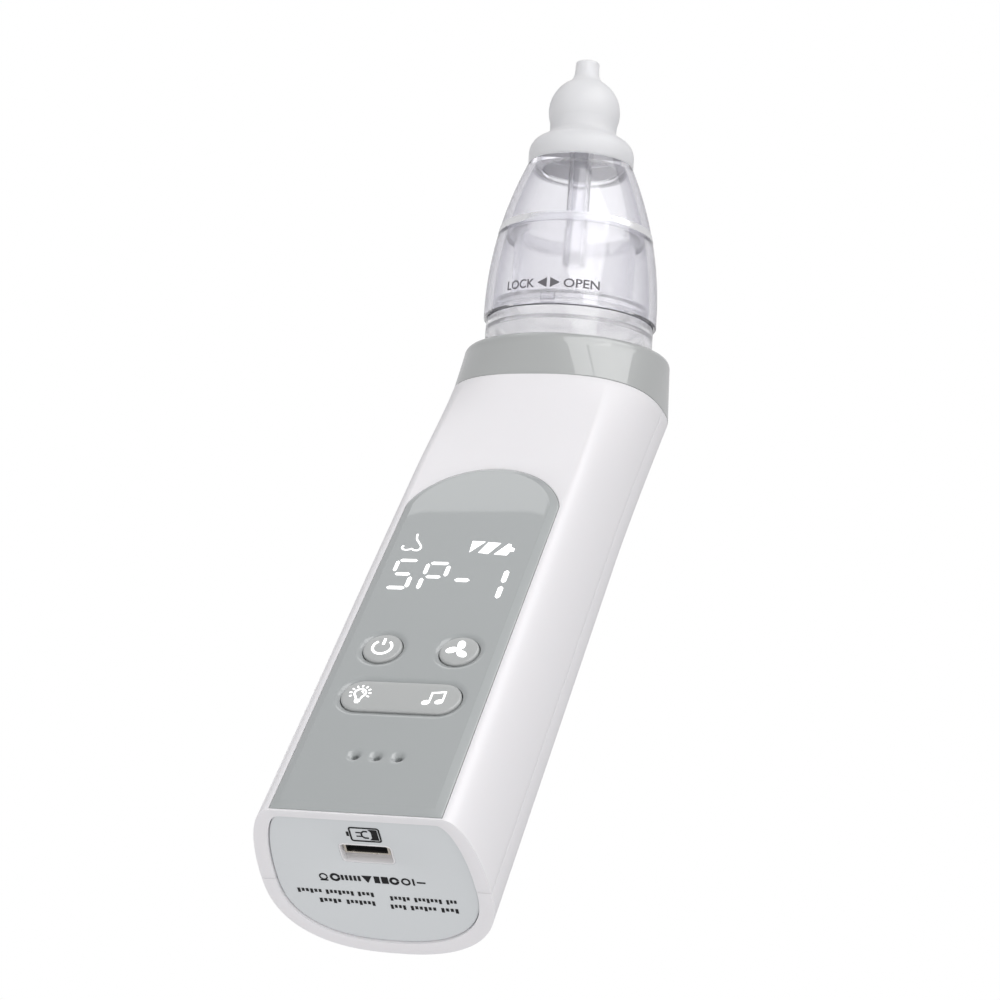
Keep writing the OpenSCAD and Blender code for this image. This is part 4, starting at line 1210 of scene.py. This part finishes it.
# a bright card that the glossy panel mirrors above the readout: its lower edge lies where the
# mirrored view through these two points of the panel falls
CARD_SIZE, CARD_POWER, CARD_REACH = 0.3, 0.38, 3.0
mirrored = Vector((CAMERA.x, 2 * FIELD_Y * MM - CAMERA.y, CAMERA.z))
ends = [Vector((x * MM, FIELD_Y * MM, z * MM)) for x, z in ((-13.26, 72.8), (12.05, 73.3))]
left, right = (mirrored + (p - mirrored) * CARD_REACH for p in ends)
axes = card_axes((right - left).normalized(), ((left + right) / 2 - mirrored).normalized())
card = area("card_light", (left + right) / 2 + axes.col[1] * CARD_SIZE / 2,
            axes.to_quaternion(), (CARD_SIZE, CARD_SIZE), CARD_POWER)
card.visible_diffuse = False


def collar_point(turn, rise):
    """A point of the collar's skin in metres, turn degrees from its front."""
    return (HEAD @ collar_skin(radians(turn), rise)) * MM


def mirrored_way(turn):
    """A point of the collar, and where the view goes after the collar mirrors it there."""
    at = collar_point(turn, 0.5)
    across = collar_point(turn + 1, 0.5) - collar_point(turn - 1, 0.5)
    normal = across.cross(collar_point(turn, 1) - collar_point(turn, 0)).normalized()
    way = (at - CAMERA).normalized()
    return at, way - 2 * way.dot(normal) * normal


# a slanted card that the glossy collar mirrors as a lighter stripe on its right
STRIPE_START, STRIPE_END, STRIPE_LEAN = 30, 52, 35  # degrees
STRIPE_REACH, STRIPE_TALL, STRIPE_POWER = 0.9, 0.7, 3.0
at, first = mirrored_way(STRIPE_START)
second = mirrored_way(STRIPE_END)[1]
view_way = (first + second).normalized()
axes = card_axes((second - first).normalized(), view_way)
lean = Matrix.Rotation(radians(STRIPE_LEAN), 3, view_way)
stripe = area("stripe_light", at + view_way * STRIPE_REACH, (lean @ axes).to_quaternion(),
              ((second - first).length * STRIPE_REACH, STRIPE_TALL), STRIPE_POWER)
stripe.visible_diffuse = False
stripe.visible_transmission = False

# the camera sees the handle from below its base and from its right
cam_data = bpy.data.cameras.new("camera")
cam_data.lens = 86.0
cam_data.sensor_width = 36.0
cam_data.clip_start, cam_data.clip_end = 0.01, 20
cam = bpy.data.objects.new("camera", cam_data)
scene.collection.objects.link(cam)
axes = Matrix((CAMERA_SIDE, CAMERA_UP, -AHEAD)).transposed().to_4x4()
cam.matrix_world = Matrix.Translation(CAMERA) @ axes
scene.camera = cam
scene.view_settings.view_transform = "Standard"
scene.view_settings.look = "None"
scene.cycles.use_denoising = True

low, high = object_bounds()
